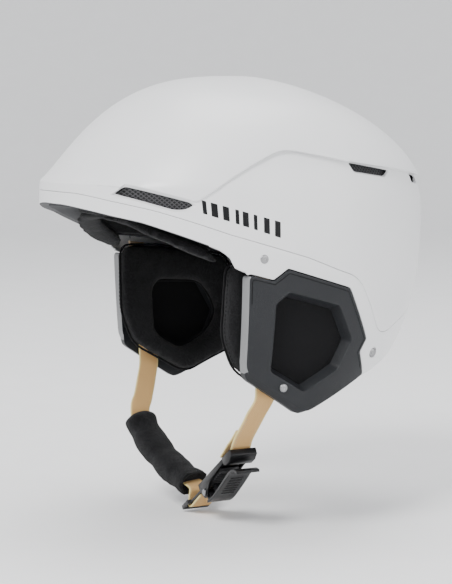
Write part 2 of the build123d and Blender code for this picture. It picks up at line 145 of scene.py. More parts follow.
REAR_VENTS = ([(29.8, 62.2), (65, 56.6), (60.8, 52.8), (33.2, 56.6)],
              [(93.5, 53.0), (106.5, 51.0), (105.0, 46.8), (95.0, 47.9)])
COVER_RADII = [4, 1.5, 1.5, 2.5, 1.5, 1.5, 1.5, 6, 7]
TEMPLE_RIVET, REAR_RIVET, COVER_RIVET = (-36, 2.2), (53.8, -65), (-19.3, -82.7)


def rounded(points, radius, steps=5):
    """Closed outline with curved corners; radius may be one value or one per corner."""
    points = [np.array(p, float) for p in points]
    radii = [radius] * len(points) if np.isscalar(radius) else radius
    out = []
    for k, corner in enumerate(points):
        before, after = points[k - 1] - corner, points[(k + 1) % len(points)] - corner
        cut = min(radii[k], 0.45 * np.linalg.norm(before), 0.45 * np.linalg.norm(after))
        start = corner + before / np.linalg.norm(before) * cut
        end = corner + after / np.linalg.norm(after) * cut
        for t in np.linspace(0, 1, steps):
            out.append((1 - t) ** 2 * start + 2 * t * (1 - t) * corner + t * t * end)
    return np.array(out)


def offset_corners(points, distance):
    """Polygon corners moved inwards by distance along exact mitres, or outwards if negative."""
    p = np.array(points, float)
    before, after = p - np.roll(p, 1, 0), np.roll(p, -1, 0) - p
    before /= np.linalg.norm(before, axis=1, keepdims=True)
    after /= np.linalg.norm(after, axis=1, keepdims=True)
    a, b = np.stack([-before[:, 1], before[:, 0]], 1), np.stack([-after[:, 1], after[:, 0]], 1)
    area = np.sum(p[:, 0] * np.roll(p[:, 1], -1) - np.roll(p[:, 0], -1) * p[:, 1])
    mitre = (a + b) / np.maximum(1 + np.sum(a * b, axis=1, keepdims=True), 0.3)
    return p + mitre * distance * np.sign(area)


def outline(points, radius, distance=0.0, step=2.0):
    """Closed rounded outline of a polygon, inset by distance, with as many points at any inset."""
    base = rounded(points, radius)
    counts = [max(1, int(np.ceil(np.linalg.norm(b - a) / step)))
              for a, b in zip(base, np.roll(base, -1, axis=0))]
    radii = np.maximum(0.35, np.array(radius) - 0.5 * abs(distance)) * np.ones(len(points))
    loop = rounded(offset_corners(points, distance), radii)
    out = []
    for a, b, count in zip(loop, np.roll(loop, -1, axis=0), counts):
        out += [a + (b - a) * k / count for k in range(count)]
    return np.array(out)


print("outlines ready; the ear cover has", len(EAR), "corners and its window", len(WINDOW))

# %% [markdown]
# ## Turning points into pieces
# A piece is a closed mesh in its final place, so that its object can sit at the origin. Helpers
# join rows of points into a skin, mirror a piece to the other side, mark the sharp edges and
# hand the piece to its body.

# %% Mesh helpers
def piece(name, verts, faces, material, sharp=32):
    """A mesh object from points in millimetres, normals outwards, smooth between sharp edges."""
    mesh = bpy.data.meshes.new(name)
    mesh.from_pydata((np.asarray(verts, float) * MM).tolist(), [], faces)
    work = bmesh.new()
    work.from_mesh(mesh)
    bmesh.ops.remove_doubles(work, verts=work.verts, dist=2e-6)
    bmesh.ops.dissolve_degenerate(work, edges=work.edges, dist=1e-6)
    bmesh.ops.recalc_face_normals(work, faces=work.faces)
    work.to_mesh(mesh)
    work.free()
    obj = bpy.data.objects.new(name, mesh)
    bpy.context.scene.collection.objects.link(obj)
    mesh.materials.append(material)
    smooth(obj, sharp)
    return obj


def smooth(obj, sharp=32):
    """Smooth shading, broken at edges sharper than the angle."""
    obj.data.shade_smooth()
    obj.data.set_sharp_from_angle(angle=radians(sharp))


def rows_to_faces(rows, columns, closed_rows=False, closed_columns=True, start=0):
    """Quads between neighbouring rows of points."""
    faces = []
    for r in range(rows if closed_rows else rows - 1):
        for c in range(columns if closed_columns else columns - 1):
            a, b = start + r * columns, start + (r + 1) % rows * columns
            d = (c + 1) % columns
            faces.append((a + c, a + d, b + d, b + c))
    return faces


def mirrored(obj, name):
    """The same piece for the wearer's right."""
    mesh = obj.data.copy()
    mesh.transform(Matrix.Scale(-1, 4, (1, 0, 0)))
    mesh.flip_normals()
    twin = bpy.data.objects.new(name, mesh)
    bpy.context.scene.collection.objects.link(twin)
    return twin


def settle(obj, body, slot_name, *nodes):
    """Hand a finished piece to its body and hide the designed parts it stands for; slot_name is
    not used.
    """
    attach(obj, body)
    if nodes:
        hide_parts(*nodes)
    return obj


def both_sides(left, slot_name, node=""):
    """Mirror a left piece and settle the pair on the helmet; {} in node takes the side."""
    pair = (left, mirrored(left, left.name.replace("left", "right")))
    for obj, side in zip(pair, ("left", "right")):
        settle(obj, "helmet", slot_name, *([node.format(side)] if node else []))
    return pair


def apply_modifiers(obj):
    """Make the evaluated shape the mesh itself."""
    bpy.context.view_layer.update()
    graph = bpy.context.evaluated_depsgraph_get()
    shape = bpy.data.meshes.new_from_object(obj.evaluated_get(graph))
    obj.modifiers.clear()
    shape.name = obj.name
    obj.data = shape
    return obj


RIM_STEP = 0.7  # spacing along a panel's rim, as a share of the spacing inside it
ROW_STEP = 0.87  # row spacing of a grid of even triangles
RIM_GAP = 0.55  # space kept free between the grid and the rim
SLIVER = 0.0004  # triangles with less than this cross product are dropped, in square millimetres


def panel(name, place, shape, holes, edge, hole_edge, material, spacing=3.0):
    """A moulded panel on the head surface.

    shape and holes are (corners, radius) in the plane that place() understands. edge and hole_edge
    are lists of (inset, depth) from the face to the back: the face starts at the first of them.
    """
    verts, faces = [], []

    def add_loop(points, depth):
        start = len(verts)
        verts.extend(place(points[:, 0], points[:, 1], depth))
        return start

    rims = []
    for (corners,
         radius), steps, sign in [(shape, edge, 1)] + [(hole, hole_edge, -1) for hole in holes]:
        lines = [outline(corners, radius, sign * step[0], spacing * RIM_STEP) for step in steps]
        starts = [add_loop(line, step[1]) for line, step in zip(lines, steps)]
        count = len(lines[0])
        for a, b in zip(starts, starts[1:]):
            faces.extend((a + k, a + (k + 1) % count, b + (k + 1) % count, b + k)
                         for k in range(count))
        rims.append((lines[0], lines[-1]))
    for side, depth in ((0, edge[0][1]), (1, edge[-1][1])):
        loops = [rim[side] for rim in rims]
        flat = [Vector(p) for loop in loops for p in loop]
        edges, begin = [], 0
        for loop in loops:
            edges += [(begin + k, begin + (k + 1) % len(loop)) for k in range(len(loop))]
            begin += len(loop)
        low, high = loops[0].min(0), loops[0].max(0)
        grid = [Vector((x + 0.5 * spacing * (row % 2), z)) for row, z in
                enumerate(np.arange(low[1] + spacing / 2, high[1], spacing * ROW_STEP))
                for x in np.arange(low[0] + spacing / 2, high[0], spacing)]
        border = np.array([tuple(p) for p in flat])
        grid = [g for g in grid if inside(g, loops)
                and np.min(np.hypot(*(border - (g.x, g.y)).T)) > RIM_GAP * spacing]
        points, _, triangles, *_ = delaunay_2d_cdt(flat + grid, edges, [], 0, 1e-5)
        kept = [(a, b, c) for a, b, c in triangles
                if abs((points[b] - points[a]).cross(points[c] - points[a])) > SLIVER
                and inside((points[a] + points[b] + points[c]) / 3, loops)]
        start = add_loop(np.array([tuple(p) for p in points]), depth)
        faces.extend(tuple(start + k for k in t) for t in kept)
    return piece(name, verts, faces, material)


def inside(point, loops):
    """True in the first loop and outside the others."""
    def within(loop):
        a, b = loop, np.roll(loop, -1, axis=0)
        crossing = (a[:, 1] > point.y) != (b[:, 1] > point.y)
        with np.errstate(divide="ignore", invalid="ignore"):
            x = a[:, 0] + (point.y - a[:, 1]) * (b[:, 0] - a[:, 0]) / (b[:, 1] - a[:, 1])
        return np.count_nonzero(crossing & (x > point.x)) % 2 == 1
    return within(loops[0]) and not any(within(loop) for loop in loops[1:])


print("mesh helpers ready")

# %% [markdown]
# ## Shared surface effects
# Three small node groups give the surfaces their life: a grain for moulded plastic and foam, a
# fibre for fleece and knit, and a twill weave for webbing. They only put out tones, masks and
# normals, so each material keeps its own shader. Object coordinates hold them still while the
# helmet moves.

# %% Shader groups
def node_group(name, inputs, outputs):
    """An empty shader group with its sockets, its input node and its output node."""
    group = bpy.data.node_groups.new(name, "ShaderNodeTree")
    for label, kind, value in inputs:
        socket = group.interface.new_socket(label, in_out="INPUT", socket_type="NodeSocket" + kind)
        if value is not None:
            socket.default_value = value
    for label, kind in outputs:
        group.interface.new_socket(label, in_out="OUTPUT", socket_type="NodeSocket" + kind)
    return group, group.nodes.new("NodeGroupInput"), group.nodes.new("NodeGroupOutput")


def wire(tree, kind, links=(), **values):
    """A node with its values set and its inputs linked: links are (input, source socket)."""
    node = tree.nodes.new(kind)
    for key, value in values.items():
        setattr(node, key, value)
    for socket, source in links:
        if isinstance(source, bpy.types.NodeSocket):
            tree.links.new(source, node.inputs[socket])
        else:
            node.inputs[socket].default_value = source
    return node


def maths(tree, operation, first, second=0.0):
    """The result of a math node."""
    return wire(tree, "ShaderNodeMath", [(0, first), (1, second)], operation=operation).outputs[0]


def grain_group():
    """Fine pitting plus a slow tone drift."""
    group, i, o = node_group("grain", [("Scale", "Float", 900.0), ("Depth", "Float", 0.1)],
                             [("Tone", "Float"), ("Normal", "Vector")])
    where = wire(group, "ShaderNodeTexCoord").outputs["Object"]
    fine = wire(group, "ShaderNodeTexNoise",
                [("Vector", where), ("Scale", i.outputs["Scale"]), ("Detail", 2.0)])
    slow = wire(group, "ShaderNodeTexNoise", [("Vector", where), ("Scale", 22.0), ("Detail", 3.0)])
    bump = wire(group, "ShaderNodeBump",
                [("Height", fine.outputs[0]), ("Strength", i.outputs["Depth"]),
                 ("Distance", 0.0004)])
    group.links.new(slow.outputs[0], o.inputs["Tone"])
    group.links.new(bump.outputs[0], o.inputs["Normal"])
    return group


def fibre_group():
    """Short curled pile: speckle from a fine noise warped by a coarse one."""
    group, i, o = node_group("fibre", [("Scale", "Float", 1400.0), ("Depth", "Float", 0.6)],
                             [("Tone", "Float"), ("Normal", "Vector")])
    where = wire(group, "ShaderNodeTexCoord").outputs["Object"]
    pile = wire(group, "ShaderNodeTexNoise",
                [("Vector", where), ("Scale", i.outputs["Scale"]), ("Detail", 3.0),
                 ("Distortion", 1.4)])
    clump = wire(group, "ShaderNodeTexNoise",
                 [("Vector", where), ("Scale", 130.0), ("Detail", 2.0)])
    both = maths(group, "ADD", pile.outputs[0], clump.outputs[0])
    bump = wire(group, "ShaderNodeBump", [("Height", both), ("Strength", i.outputs["Depth"]),
                                          ("Distance", 0.0012)])
    speckle = wire(group, "ShaderNodeMapRange",
                   [("Value", pile.outputs[0]), ("From Min", 0.42), ("From Max", 0.72)])
    group.links.new(speckle.outputs[0], o.inputs["Tone"])
    group.links.new(bump.outputs[0], o.inputs["Normal"])
    return group


def twill_group():
    """Diagonal ribs across the webbing; the UV map runs in millimetres, with U along the strap."""
    group, i, o = node_group("twill", [("Width", "Float", 15.0), ("Depth", "Float", 0.7)],
                             [("Tone", "Float"), ("Edge", "Float"), ("Normal", "Vector")])
    where = wire(group, "ShaderNodeUVMap", uv_map="weave").outputs["UV"]
    apart = wire(group, "ShaderNodeSeparateXYZ", [(0, where)])
    fold = maths(group, "ABSOLUTE", apart.outputs[1])
    slant = maths(group, "ADD", fold, apart.outputs[0])
    rib = maths(group, "SINE", maths(group, "MULTIPLY", slant, 5.2))
    yarn = maths(group, "SINE", maths(group, "MULTIPLY", apart.outputs[1], 9.0))
    both = maths(group, "ADD", rib, yarn)
    bump = wire(group, "ShaderNodeBump", [("Height", both), ("Strength", i.outputs["Depth"]),
                                          ("Distance", 0.00018)])
    tone = wire(group, "ShaderNodeMapRange", [("Value", both), ("From Min", -2.0),
                                              ("From Max", 2.0)])
    rim = maths(group, "MULTIPLY", i.outputs["Width"], 0.5)
    edge = wire(group, "ShaderNodeMapRange", [("Value", fold), ("From Max", rim),
                                              ("From Min", maths(group, "SUBTRACT", rim, 1.4))])
    group.links.new(tone.outputs[0], o.inputs["Tone"])
    group.links.new(edge.outputs[0], o.inputs["Edge"])
    group.links.new(bump.outputs[0], o.inputs["Normal"])
    return group


EFFECTS = {"grain": grain_group(), "fibre": fibre_group(), "twill": twill_group()}
print("shader groups:", ", ".join(EFFECTS))

# %% [markdown]
# ## Materials
# Satin white polycarbonate, pale expanded foam, near-black fleece with a short pile, anthracite
# moulding, tan webbing and a few glossy or metal fittings. Each one mixes two close tones
# through its effect, because nothing on a worn object has a single flat colour.

# %% Materials
def surface(name, effect, low, high, rough, scale, depth, metal=0.0, coat=0.0, sheen=0.0,
            specular=0.5):
    """A material mixing two tones through one of the shared effects."""
    material = bpy.data.materials.new(name)
    material.use_nodes = True
    tree = material.node_tree
    shader = tree.nodes["Principled BSDF"]
    group = tree.nodes.new("ShaderNodeGroup")
    group.node_tree = EFFECTS[effect]
    if "Scale" in group.inputs:
        group.inputs["Scale"].default_value = scale
    group.inputs["Depth"].default_value = depth
    mix = wire(tree, "ShaderNodeMix", data_type="RGBA")
    mix.inputs[6].default_value, mix.inputs[7].default_value = (*low, 1), (*high, 1)
    tree.links.new(group.outputs["Tone"], mix.inputs[0])
    color = mix.outputs[2]
    if effect == "twill":
        edge = wire(tree, "ShaderNodeMix", data_type="RGBA")
        edge.inputs[7].default_value = (*[min(1, c * 1.35) for c in high], 1)
        tree.links.new(group.outputs["Edge"], edge.inputs[0])
        tree.links.new(mix.outputs[2], edge.inputs[6])
        color = edge.outputs[2]
    tree.links.new(color, shader.inputs["Base Color"])
    tree.links.new(group.outputs["Normal"], shader.inputs["Normal"])
    for socket, value in (("Roughness", rough), ("Metallic", metal), ("Coat Weight", coat),
                          ("Coat Roughness", 0.25),
                          ("Sheen Weight", sheen), ("Sheen Roughness", 0.5), ("Specular IOR Level",
                                                                              specular)):
        shader.inputs[socket].default_value = value
    material.diffuse_color = (*high, 1)
    return material


WHITE = surface("shell_white", "grain", (0.74, 0.745, 0.755), (0.80, 0.80, 0.80), 0.36, 1500, 0.05,
                coat=0.12)
FOAM = surface("foam_grey", "grain", (0.022, 0.023, 0.025), (0.05, 0.051, 0.054), 0.8, 420, 0.8,
               specular=0.2)
FOAM_DARK = surface("vent_foam", "grain", (0.012, 0.012, 0.013), (0.045, 0.045, 0.047), 0.9, 700,
                    1.0)
FLEECE = surface("fleece_black", "fibre", (0.003, 0.003, 0.0035), (0.026, 0.026, 0.028), 0.95,
                 1500, 0.8, sheen=0.08,
                 specular=0.1)
STRETCH = surface("stretch_black", "fibre", (0.003, 0.003, 0.0035), (0.010, 0.010, 0.011), 0.85,
                  2600, 0.35, sheen=0.04,
                  specular=0.12)
MESH = surface("vent_mesh", "grain", (0.035, 0.035, 0.037), (0.085, 0.085, 0.09), 0.7, 900, 0.5)
ANTHRACITE = surface("cover_anthracite", "grain", (0.010, 0.011, 0.0125), (0.017, 0.018, 0.0205),
                     0.45, 1100, 0.35, specular=0.25)
GREY = surface("cover_wall_grey", "grain", (0.16, 0.162, 0.166), (0.21, 0.213, 0.217), 0.45, 1100,
               0.25)
WEBBING = surface("webbing_tan", "twill", (0.62, 0.34, 0.11), (0.94, 0.62, 0.28), 0.8, 0, 1.0,
                  sheen=0.05, specular=0.15)
THREAD = surface("thread_tan", "grain", (0.55, 0.42, 0.27), (0.72, 0.58, 0.40), 0.8, 1500, 0.3)
BLACK = surface("plastic_black", "grain", (0.004, 0.004, 0.0045), (0.010, 0.010, 0.011), 0.3, 1300,
                0.12, coat=0.03, specular=0.25)
RAIL = surface("plastic_grey", "grain", (0.02, 0.02, 0.021), (0.038, 0.038, 0.04), 0.35, 1300,
               0.15, specular=0.4)
RUBBER = surface("rubber_black", "grain", (0.010, 0.010, 0.011), (0.022, 0.022, 0.023), 0.7, 1200,
                 0.3)
SILVER = surface("rivet_silver", "grain", (0.26, 0.26, 0.265), (0.36, 0.36, 0.365), 0.35, 900,
                 0.08, metal=1.0)
INK = surface("mark_grey", "grain", (0.006, 0.006, 0.007), (0.012, 0.012, 0.013), 0.4, 1500, 0.05,
              specular=0.15)
TRIM = surface("brim_trim_grey", "grain", (0.028, 0.029, 0.031), (0.05, 0.051, 0.054), 0.6, 900,
               0.4, specular=0.25)
print("materials:", len(bpy.data.materials))

# %% [markdown]
# ## Crown shell
# The upper shell is moulded in one piece. Its lower part is set back behind an overhanging ledge
# that starts flush at the forehead and gets deeper towards the back. Columns of points run round
# the head and rows run from the crown down to the seam, first outside and then back up the
# inside, which gives a closed mould.

# %% Crown shell
TURNS = np.arange(0, 360, 1.5)
SEAM_GAP = 0.12  # half the gap between the two shells
LEDGE_LIP = 0.9  # height of the ledge's rounded lip
PANEL_TOP = 1.0  # how far below the ledge the set-back panel starts


def smoothstep(value, low, high):
    """0 below low, 1 above high, eased in between."""
    t = np.clip((value - low) / (high - low), 0, 1)
    return t * t * (3 - 2 * t)


def ledge_step(turn):
    """How far the panel below the ledge is set back: flush at the front, deep at the back."""
    off_front = np.minimum(np.mod(turn, 360), 360 - np.mod(turn, 360))
    return 0.5 + 2.9 * smoothstep(off_front, 30, 100)


def crown_depth(turn, z, seam, ledge):
    """Depth of the crown's outer face between the seam and the ledge."""
    share = np.clip((z - seam) / np.maximum(ledge - seam, 1), 0, 1)
    return ledge_step(turn) * share


seam_height, ledge_height = height_on(SEAM, TURNS), height_on(LEDGE, TURNS)
rows = []
for share in np.sin(np.linspace(pi / 2, 0, 46)):
    z = ledge_height + LEDGE_LIP + (CROWN_TOP - ledge_height - LEDGE_LIP) * share
    rows.append(skin(TURNS, z, 0.0))
step = ledge_step(TURNS)
rows.append(skin(TURNS, ledge_height + 0.2, 0.25))
rows.append(skin(TURNS, ledge_height - 0.1, step * 0.5 + 0.3))
rows.append(skin(TURNS, ledge_height - 0.5, step))
low_edge = seam_height + SEAM_GAP
for share in np.linspace(0.02, 1, 26):
    z = ledge_height - PANEL_TOP + (low_edge + 0.5 - ledge_height + PANEL_TOP) * share
    rows.append(skin(TURNS, z, crown_depth(TURNS, z, seam_height, ledge_height)))
rows += [skin(TURNS, low_edge + lift, depth) for lift, depth in
         ((0.12, 0.1), (0.0, 0.4), (0.2, SHELL_THICK - 0.3), (1.0, SHELL_THICK))]
for share in np.linspace(0, 1, 20)[1:-1]:
    z = low_edge + 1.0 + (ledge_height - low_edge - 1.0) * share
    rows.append(skin(TURNS, z, SHELL_THICK + crown_depth(TURNS, z, seam_height, ledge_height)))
inner_low = ledge_height + 2.5
for share in np.sin(np.linspace(0.02, pi / 2, 40)):
    z = inner_low + (CROWN_TOP - SHELL_THICK - inner_low) * share
    rows.append(skin(TURNS, z, SHELL_THICK))
crown = piece("crown_shell_skin", np.concatenate(rows), rows_to_faces(len(rows), len(TURNS)),
              WHITE, 28)
print("crown shell:", len(crown.data.polygons), "faces")

# %% [markdown]
# ## Vents
# The vents are cut through the crown with wider mouths than throats, as a mould's draft leaves
# them. The cutter follows the head surface, so the chamfer stays even all round. The left
# cutters are mirrored to the right.

# %% Vents
def carve(obj, cutters):
    """Cut closed shapes out of a piece."""
    for cutter in cutters:
        cut = obj.modifiers.new("cut", "BOOLEAN")
        cut.operation, cut.solver, cut.object = "DIFFERENCE", "EXACT", cutter
    apply_modifiers(obj)
    for cutter in cutters:
        bpy.data.objects.remove(cutter)
    smooth(obj, 28)
    return obj


def plug(name, corners, radius, edge):
    """A cutter that follows the head surface; edge lists (inset, depth) from outside to inside."""
    left = panel(name, flank, (corners, radius), [], edge, [], WHITE)
    return [left, mirrored(left, name + "_right")]


cutters = plug("front_cut", FRONT_VENT, [2, 1.5, 5, 3, 2, 2],
               [(-3.2, -4), (-1.6, -0.3), (0.2, 2.4), (0.2, 9)])
for k, corners in enumerate(REAR_VENTS):
    cutters += plug(f"rear_cut_{k}", corners, 2.0,
                    [(-2.2, -4), (-0.6, 3.2), (0.2, 5.0), (0.2, 12)])
carve(crown, cutters)
settle(crown, "helmet", "shell_white", "crown_shell")
print("crown after cutting:", len(crown.data.polygons), "faces")

# %% [markdown]
# ## Lower shell
# The lower shell carries the brim in front and the neck at the back, and stops above the ear
# covers. The brim is rolled inwards into a flange so that it can't be felt or cracked; its
# section is drawn once as heights and depths from the edge, and swept round the head.

# %% Lower shell
SHELL_EDGE = BRIM + [(-47, -7), (-38, -24), (38, -72), (46.6, -80.4), (56, -78), (69, -73.5),
                     (83, -69.5),
                     (105, -61), (160, -56)]
edge_height = height_on(SHELL_EDGE, TURNS)
off_front = np.minimum(TURNS, 360 - TURNS)
flange = 4.4 + 4.6 * (1 - smoothstep(off_front, 66, 73))
top_edge = seam_height - SEAM_GAP
section = [(top_edge, 0.4), (top_edge - 0.12, 0.1), (top_edge - 0.5, 0.0)]
for share in np.linspace(0, 1, 14)[1:]:
    section.append((top_edge - 0.5 + (edge_height + 2.1 - top_edge) * share, 0.0))
section += [(edge_height + lift, depth) for lift, depth in
            ((0.75, 0.22), (0.2, 0.8), (0, 1.7), (0, flange * 0.5), (0, flange - 0.9),
             (0.3, flange - 0.2), (1.0, flange), (1.7, flange - 0.2), (2.0, flange - 0.9), (2.1,
                                                                                            3.1),
             (2.8, SHELL_THICK))]
for share in np.linspace(0, 1, 12)[1:]:
    section.append((edge_height + 2.8 + (top_edge - 1.5 - edge_height - 2.8) * share, SHELL_THICK))
section += [(top_edge - 0.5, 2.7), (top_edge + 2.6, 2.7), (top_edge + 2.6, 2.32),
            (top_edge + 0.02, 2.3)]
rows = [skin(TURNS, z, depth) for z, depth in section]
lower = piece("lower_shell_skin", np.concatenate(rows),
              rows_to_faces(len(rows), len(TURNS), closed_rows=True), WHITE, 30)
ear_cut = plug("ear_cut", EAR, COVER_RADII, [(-0.8, -12), (-0.8, 0), (-0.8, 30)])
rivet_cut = plug("rivet_cut", [(50.2, -61.4), (57.4, -61.4), (57.4, -68.6), (50.2, -68.6)], 3.5,
                 [(-0.5, -3), (0, 0.1), (0, 1.2)])
lower.data.materials.append(TRIM)
for face in lower.data.polygons:
    around = Vector((face.center.x, face.center.y, 0)).normalized()
    if face.center.y < -0.072 and (face.normal.z < -0.5 or face.normal.dot(around) < -0.3):
        face.material_index = 1
carve(lower, ear_cut + rivet_cut)
settle(lower, "helmet", "shell_white", "lower_shell")
print("lower shell:", len(lower.data.polygons), "faces")

# %% [markdown]
# ## Foam liner and comfort lining
# Grey expanded foam fills the shell and takes the impact; a thin quilted fleece lining lies
# inside it. Both are swept like the shells, from a lower edge up to the crown. The lining swells
# between its seams, which is what makes it look stuffed.

# %% Liner and lining
def dome(name, edge, outer, inner, material, swell=None, rim=1.2, levels=34):
    """A closed dome between two depths, from a lower edge line to the crown."""
    rows = []
    top_out, top_in = CROWN_TOP - outer, CROWN_TOP - inner
    for share in np.sin(np.linspace(pi / 2, 0, levels)):
        rows.append(skin(TURNS, edge + rim + (top_out - edge - rim) * share, outer))
    rows += [skin(TURNS, edge + rim * 0.3, outer + rim * 0.3), skin(TURNS, edge, outer + rim),
             skin(TURNS, edge, inner - rim), skin(TURNS, edge + rim * 0.3, inner - rim * 0.3)]
    for share in np.sin(np.linspace(0, pi / 2, levels)):
        z = edge + rim + (top_in - edge - rim) * share
        rows.append(skin(TURNS, z, inner + (swell(TURNS, share, z) if swell is not None else 0)))
    return piece(name, np.concatenate(rows), rows_to_faces(len(rows), len(TURNS)), material, 40)


LINER_EDGE = [(y, z + 2.6) for y, z in BRIM[:-2]] + [(-54, 7), (42, -8), (56, -62), (160, -50)]
LINING_EDGE = [(-160, 37), (-100, 26), (-60, 8), (-30, 5), (48, -6), (60, -30), (160, -38)]


def quilting(turn, share, z):
    """Stuffed panels between seams: no swell on a seam, most in the middle of a panel."""
    across = np.abs(np.sin(np.radians(turn * 5)))
    up = np.abs(np.sin(share * pi * 3 + 0.6))
    fade = 1 - smoothstep(share, 0.86, 1.0)
    return 1.9 * fade * np.minimum(across, up) ** 0.45


liner = dome("impact_liner_foam", height_on(LINER_EDGE, TURNS, 12), 6.6, 26.0, FOAM)
pockets = plug("front_pocket", FRONT_VENT, 3, [(-2.5, 0), (-2.5, 9)])
for k, corners in enumerate(REAR_VENTS):
    pockets += plug(f"rear_pocket_{k}", corners, 2, [(-2.0, 0), (-2.0, 11)])
carve(liner, pockets)
settle(liner, "helmet", "foam_grey", "impact_liner")
lining = dome("comfort_lining_fleece", height_on(LINING_EDGE, TURNS, 29), 26.3, 30.8, FLEECE,
              quilting, 1.6, 60)
settle(lining, "helmet", "fleece_black", "comfort_lining")
print("liner and lining:", len(liner.data.polygons), "and", len(lining.data.polygons), "faces")

# %% [markdown]
# ## Soft pads
# Brow pad, nape pad and chin pad are stuffed tubes. Each is lofted through rounded sections,
# then inflated a little as cloth under pressure, because a stitched cover over foam bulges in a
# way that is hard to draw. Small folds are pressed in afterwards, where the pad bends.

# %% Soft pad helpers
def loft(name, rings, material, sharp=50):
    """Closed rings of points joined into a tube with rounded, closed ends."""
    rings = np.asarray(rings, float)
    count, around = rings.shape[:2]
    verts = rings.reshape(-1, 3)
    faces = rows_to_faces(count, around)
    ends = len(verts)
    verts = np.concatenate([verts, rings[0].mean(0, keepdims=True),
                            rings[-1].mean(0, keepdims=True)])
    last = (count - 1) * around
    faces += [(ends, k, (k + 1) % around) for k in range(around)]
    faces += [(ends + 1, last + (k + 1) % around, last + k) for k in range(around)]
    return piece(name, verts, faces, material, sharp)


def superoval(count, power):
    """Unit rounded rectangle as (across, up) pairs."""
    t = np.linspace(0, 2 * pi, count, endpoint=False)
    return np.stack([np.sign(np.cos(t)) * np.abs(np.cos(t)) ** (2 / power),
                     np.sign(np.sin(t)) * np.abs(np.sin(t)) ** (2 / power)], 1)


CLOTH_FRAMES = 20


def puff(obj, voxel=0.0045, pressure=4.0, most=0.004):
    """Inflate a stuffed piece as cloth, keeping every point within most of where it was drawn."""
    material = obj.data.materials[0]
    remesh = obj.modifiers.new("even", "REMESH")
    remesh.mode, remesh.voxel_size = "VOXEL", voxel
    apply_modifiers(obj)
    drawn = np.array([v.co[:] for v in obj.data.vertices])
    cloth = obj.modifiers.new("cloth", "CLOTH")
    cloth.settings.use_pressure = True
    cloth.settings.uniform_pressure_force = pressure
    cloth.settings.effector_weights.gravity = 0
    cloth.point_cache.frame_start, cloth.point_cache.frame_end = 1, CLOTH_FRAMES
    for moment in range(1, CLOTH_FRAMES + 1):
        bpy.context.scene.frame_set(moment)
    apply_modifiers(obj)
    bpy.context.scene.frame_set(1)
    blown = np.array([v.co[:] for v in obj.data.vertices])
    move = blown - drawn
    size = np.linalg.norm(move, axis=1, keepdims=True)
    blown = drawn + move * np.minimum(1, most / np.maximum(size, 1e-9))
    obj.data.vertices.foreach_set("co", blown.ravel())
    finer = obj.modifiers.new("finer", "SUBSURF")
    finer.levels = 1
    apply_modifiers(obj)
    obj.data.materials.clear()
    obj.data.materials.append(material)
    smooth(obj, 60)
    return obj


def crumple(obj, amount, size, seed=0.0, stretch=(1, 1, 1)):
    """Press small folds into a soft piece, along its normals; lengths in millimetres."""
    mesh = obj.data
    normals = [v.normal.copy() for v in mesh.vertices]
    for v, normal in zip(mesh.vertices, normals):
        where = Vector(v.co[k] / MM / size * stretch[k] + seed for k in range(3))
        fold = 1 - abs(noise.noise(where)) * 2 + 0.5 * noise.noise(where * 2.3)
        v.co += normal * (amount * MM * (fold - 0.6))
    mesh.update()
    return obj


def tube(name, points, radius, material, closed=True, sides=8):
    """A thin round welt along a line of points in millimetres."""
    points = np.asarray(points, float)
    if closed:
        ahead = np.roll(points, -1, 0) - np.roll(points, 1, 0)
    else:
        ahead = np.gradient(points, axis=0)
    ahead /= np.maximum(np.linalg.norm(ahead, axis=1, keepdims=True), 1e-9)
    up = np.array([1.0, 0.15, 0.1])
    side = np.cross(ahead, up)
    side /= np.maximum(np.linalg.norm(side, axis=1, keepdims=True), 1e-9)
    over = np.cross(side, ahead)
    angle = np.linspace(0, 2 * pi, sides, endpoint=False)
    rings = points[:, None] + radius * (np.cos(angle)[None, :, None] * side[:, None]
                                        + np.sin(angle)[None, :, None] * over[:, None])
    if not closed:
        return loft(name, rings, material, 60)
    faces = rows_to_faces(len(points), sides, closed_rows=True)
    return piece(name, rings.reshape(-1, 3), faces, material, 60)


print("soft pad helpers ready")

# %% [markdown]
# The brow pad crosses the forehead just inside the brim. It is set well back at the middle,
# where the foam's grey underside shows in front of it, and its lower edge is scalloped by the
# seams.

# %% Brow and nape pads
def arc_pad(name, turns, low, high, outer, inner, power=2.8):
    """A pad following the head between two heights and two depths, tapered at both ends."""
    oval_shape = superoval(28, power)
    rings = []
    for k, turn in enumerate(turns):
        from_end = min(k, len(turns) - 1 - k)
        scale = min(1.0, 0.35 + 0.65 * sin(min(1, from_end / 5) * pi / 2))
        depth = (outer[k] + inner[k]) / 2 + oval_shape[:, 0] * (inner[k] - outer[k]) / 2 * scale
        z = (low[k] + high[k]) / 2 + oval_shape[:, 1] * (high[k] - low[k]) / 2 * scale
        rings.append(skin(np.full(len(z), turn), z, depth))
    return loft(name, rings, FLEECE)


brow_turns = np.linspace(-64, 64, 90)
brow_line = height_on(BRIM, np.mod(brow_turns, 360), 20)
forward = np.maximum(0, np.cos(np.radians(brow_turns * 90 / 62)))
scallop = 0.8 * np.abs(np.sin(np.radians(brow_turns * 8)))
brow = arc_pad("brow_pad_fleece", brow_turns, brow_line - 6.8 - scallop + 3.0 * forward,
               brow_line + 1.2,
               10.5 + 21.0 * forward**1.5, 33.5 + 9.5 * forward)
puff(brow, 0.0035, 4.0, 0.0008)
crumple(brow, 0.3, 12, 3.0)
settle(brow, "helmet", "fleece_black", "brow_pad")
trim_turns = np.linspace(-48, 48, 70)
trim_line = height_on(BRIM, np.mod(trim_turns, 360))
for k, (depth, drop, radius) in enumerate(((9.2, 0.4, 0.35), (14.0, 1.6, 0.4))):
    bead = tube(f"brim_bead_{k}", skin(trim_turns, trim_line + drop, depth), radius, GREY,
                closed=False)
    settle(bead, "helmet", "foam_grey")

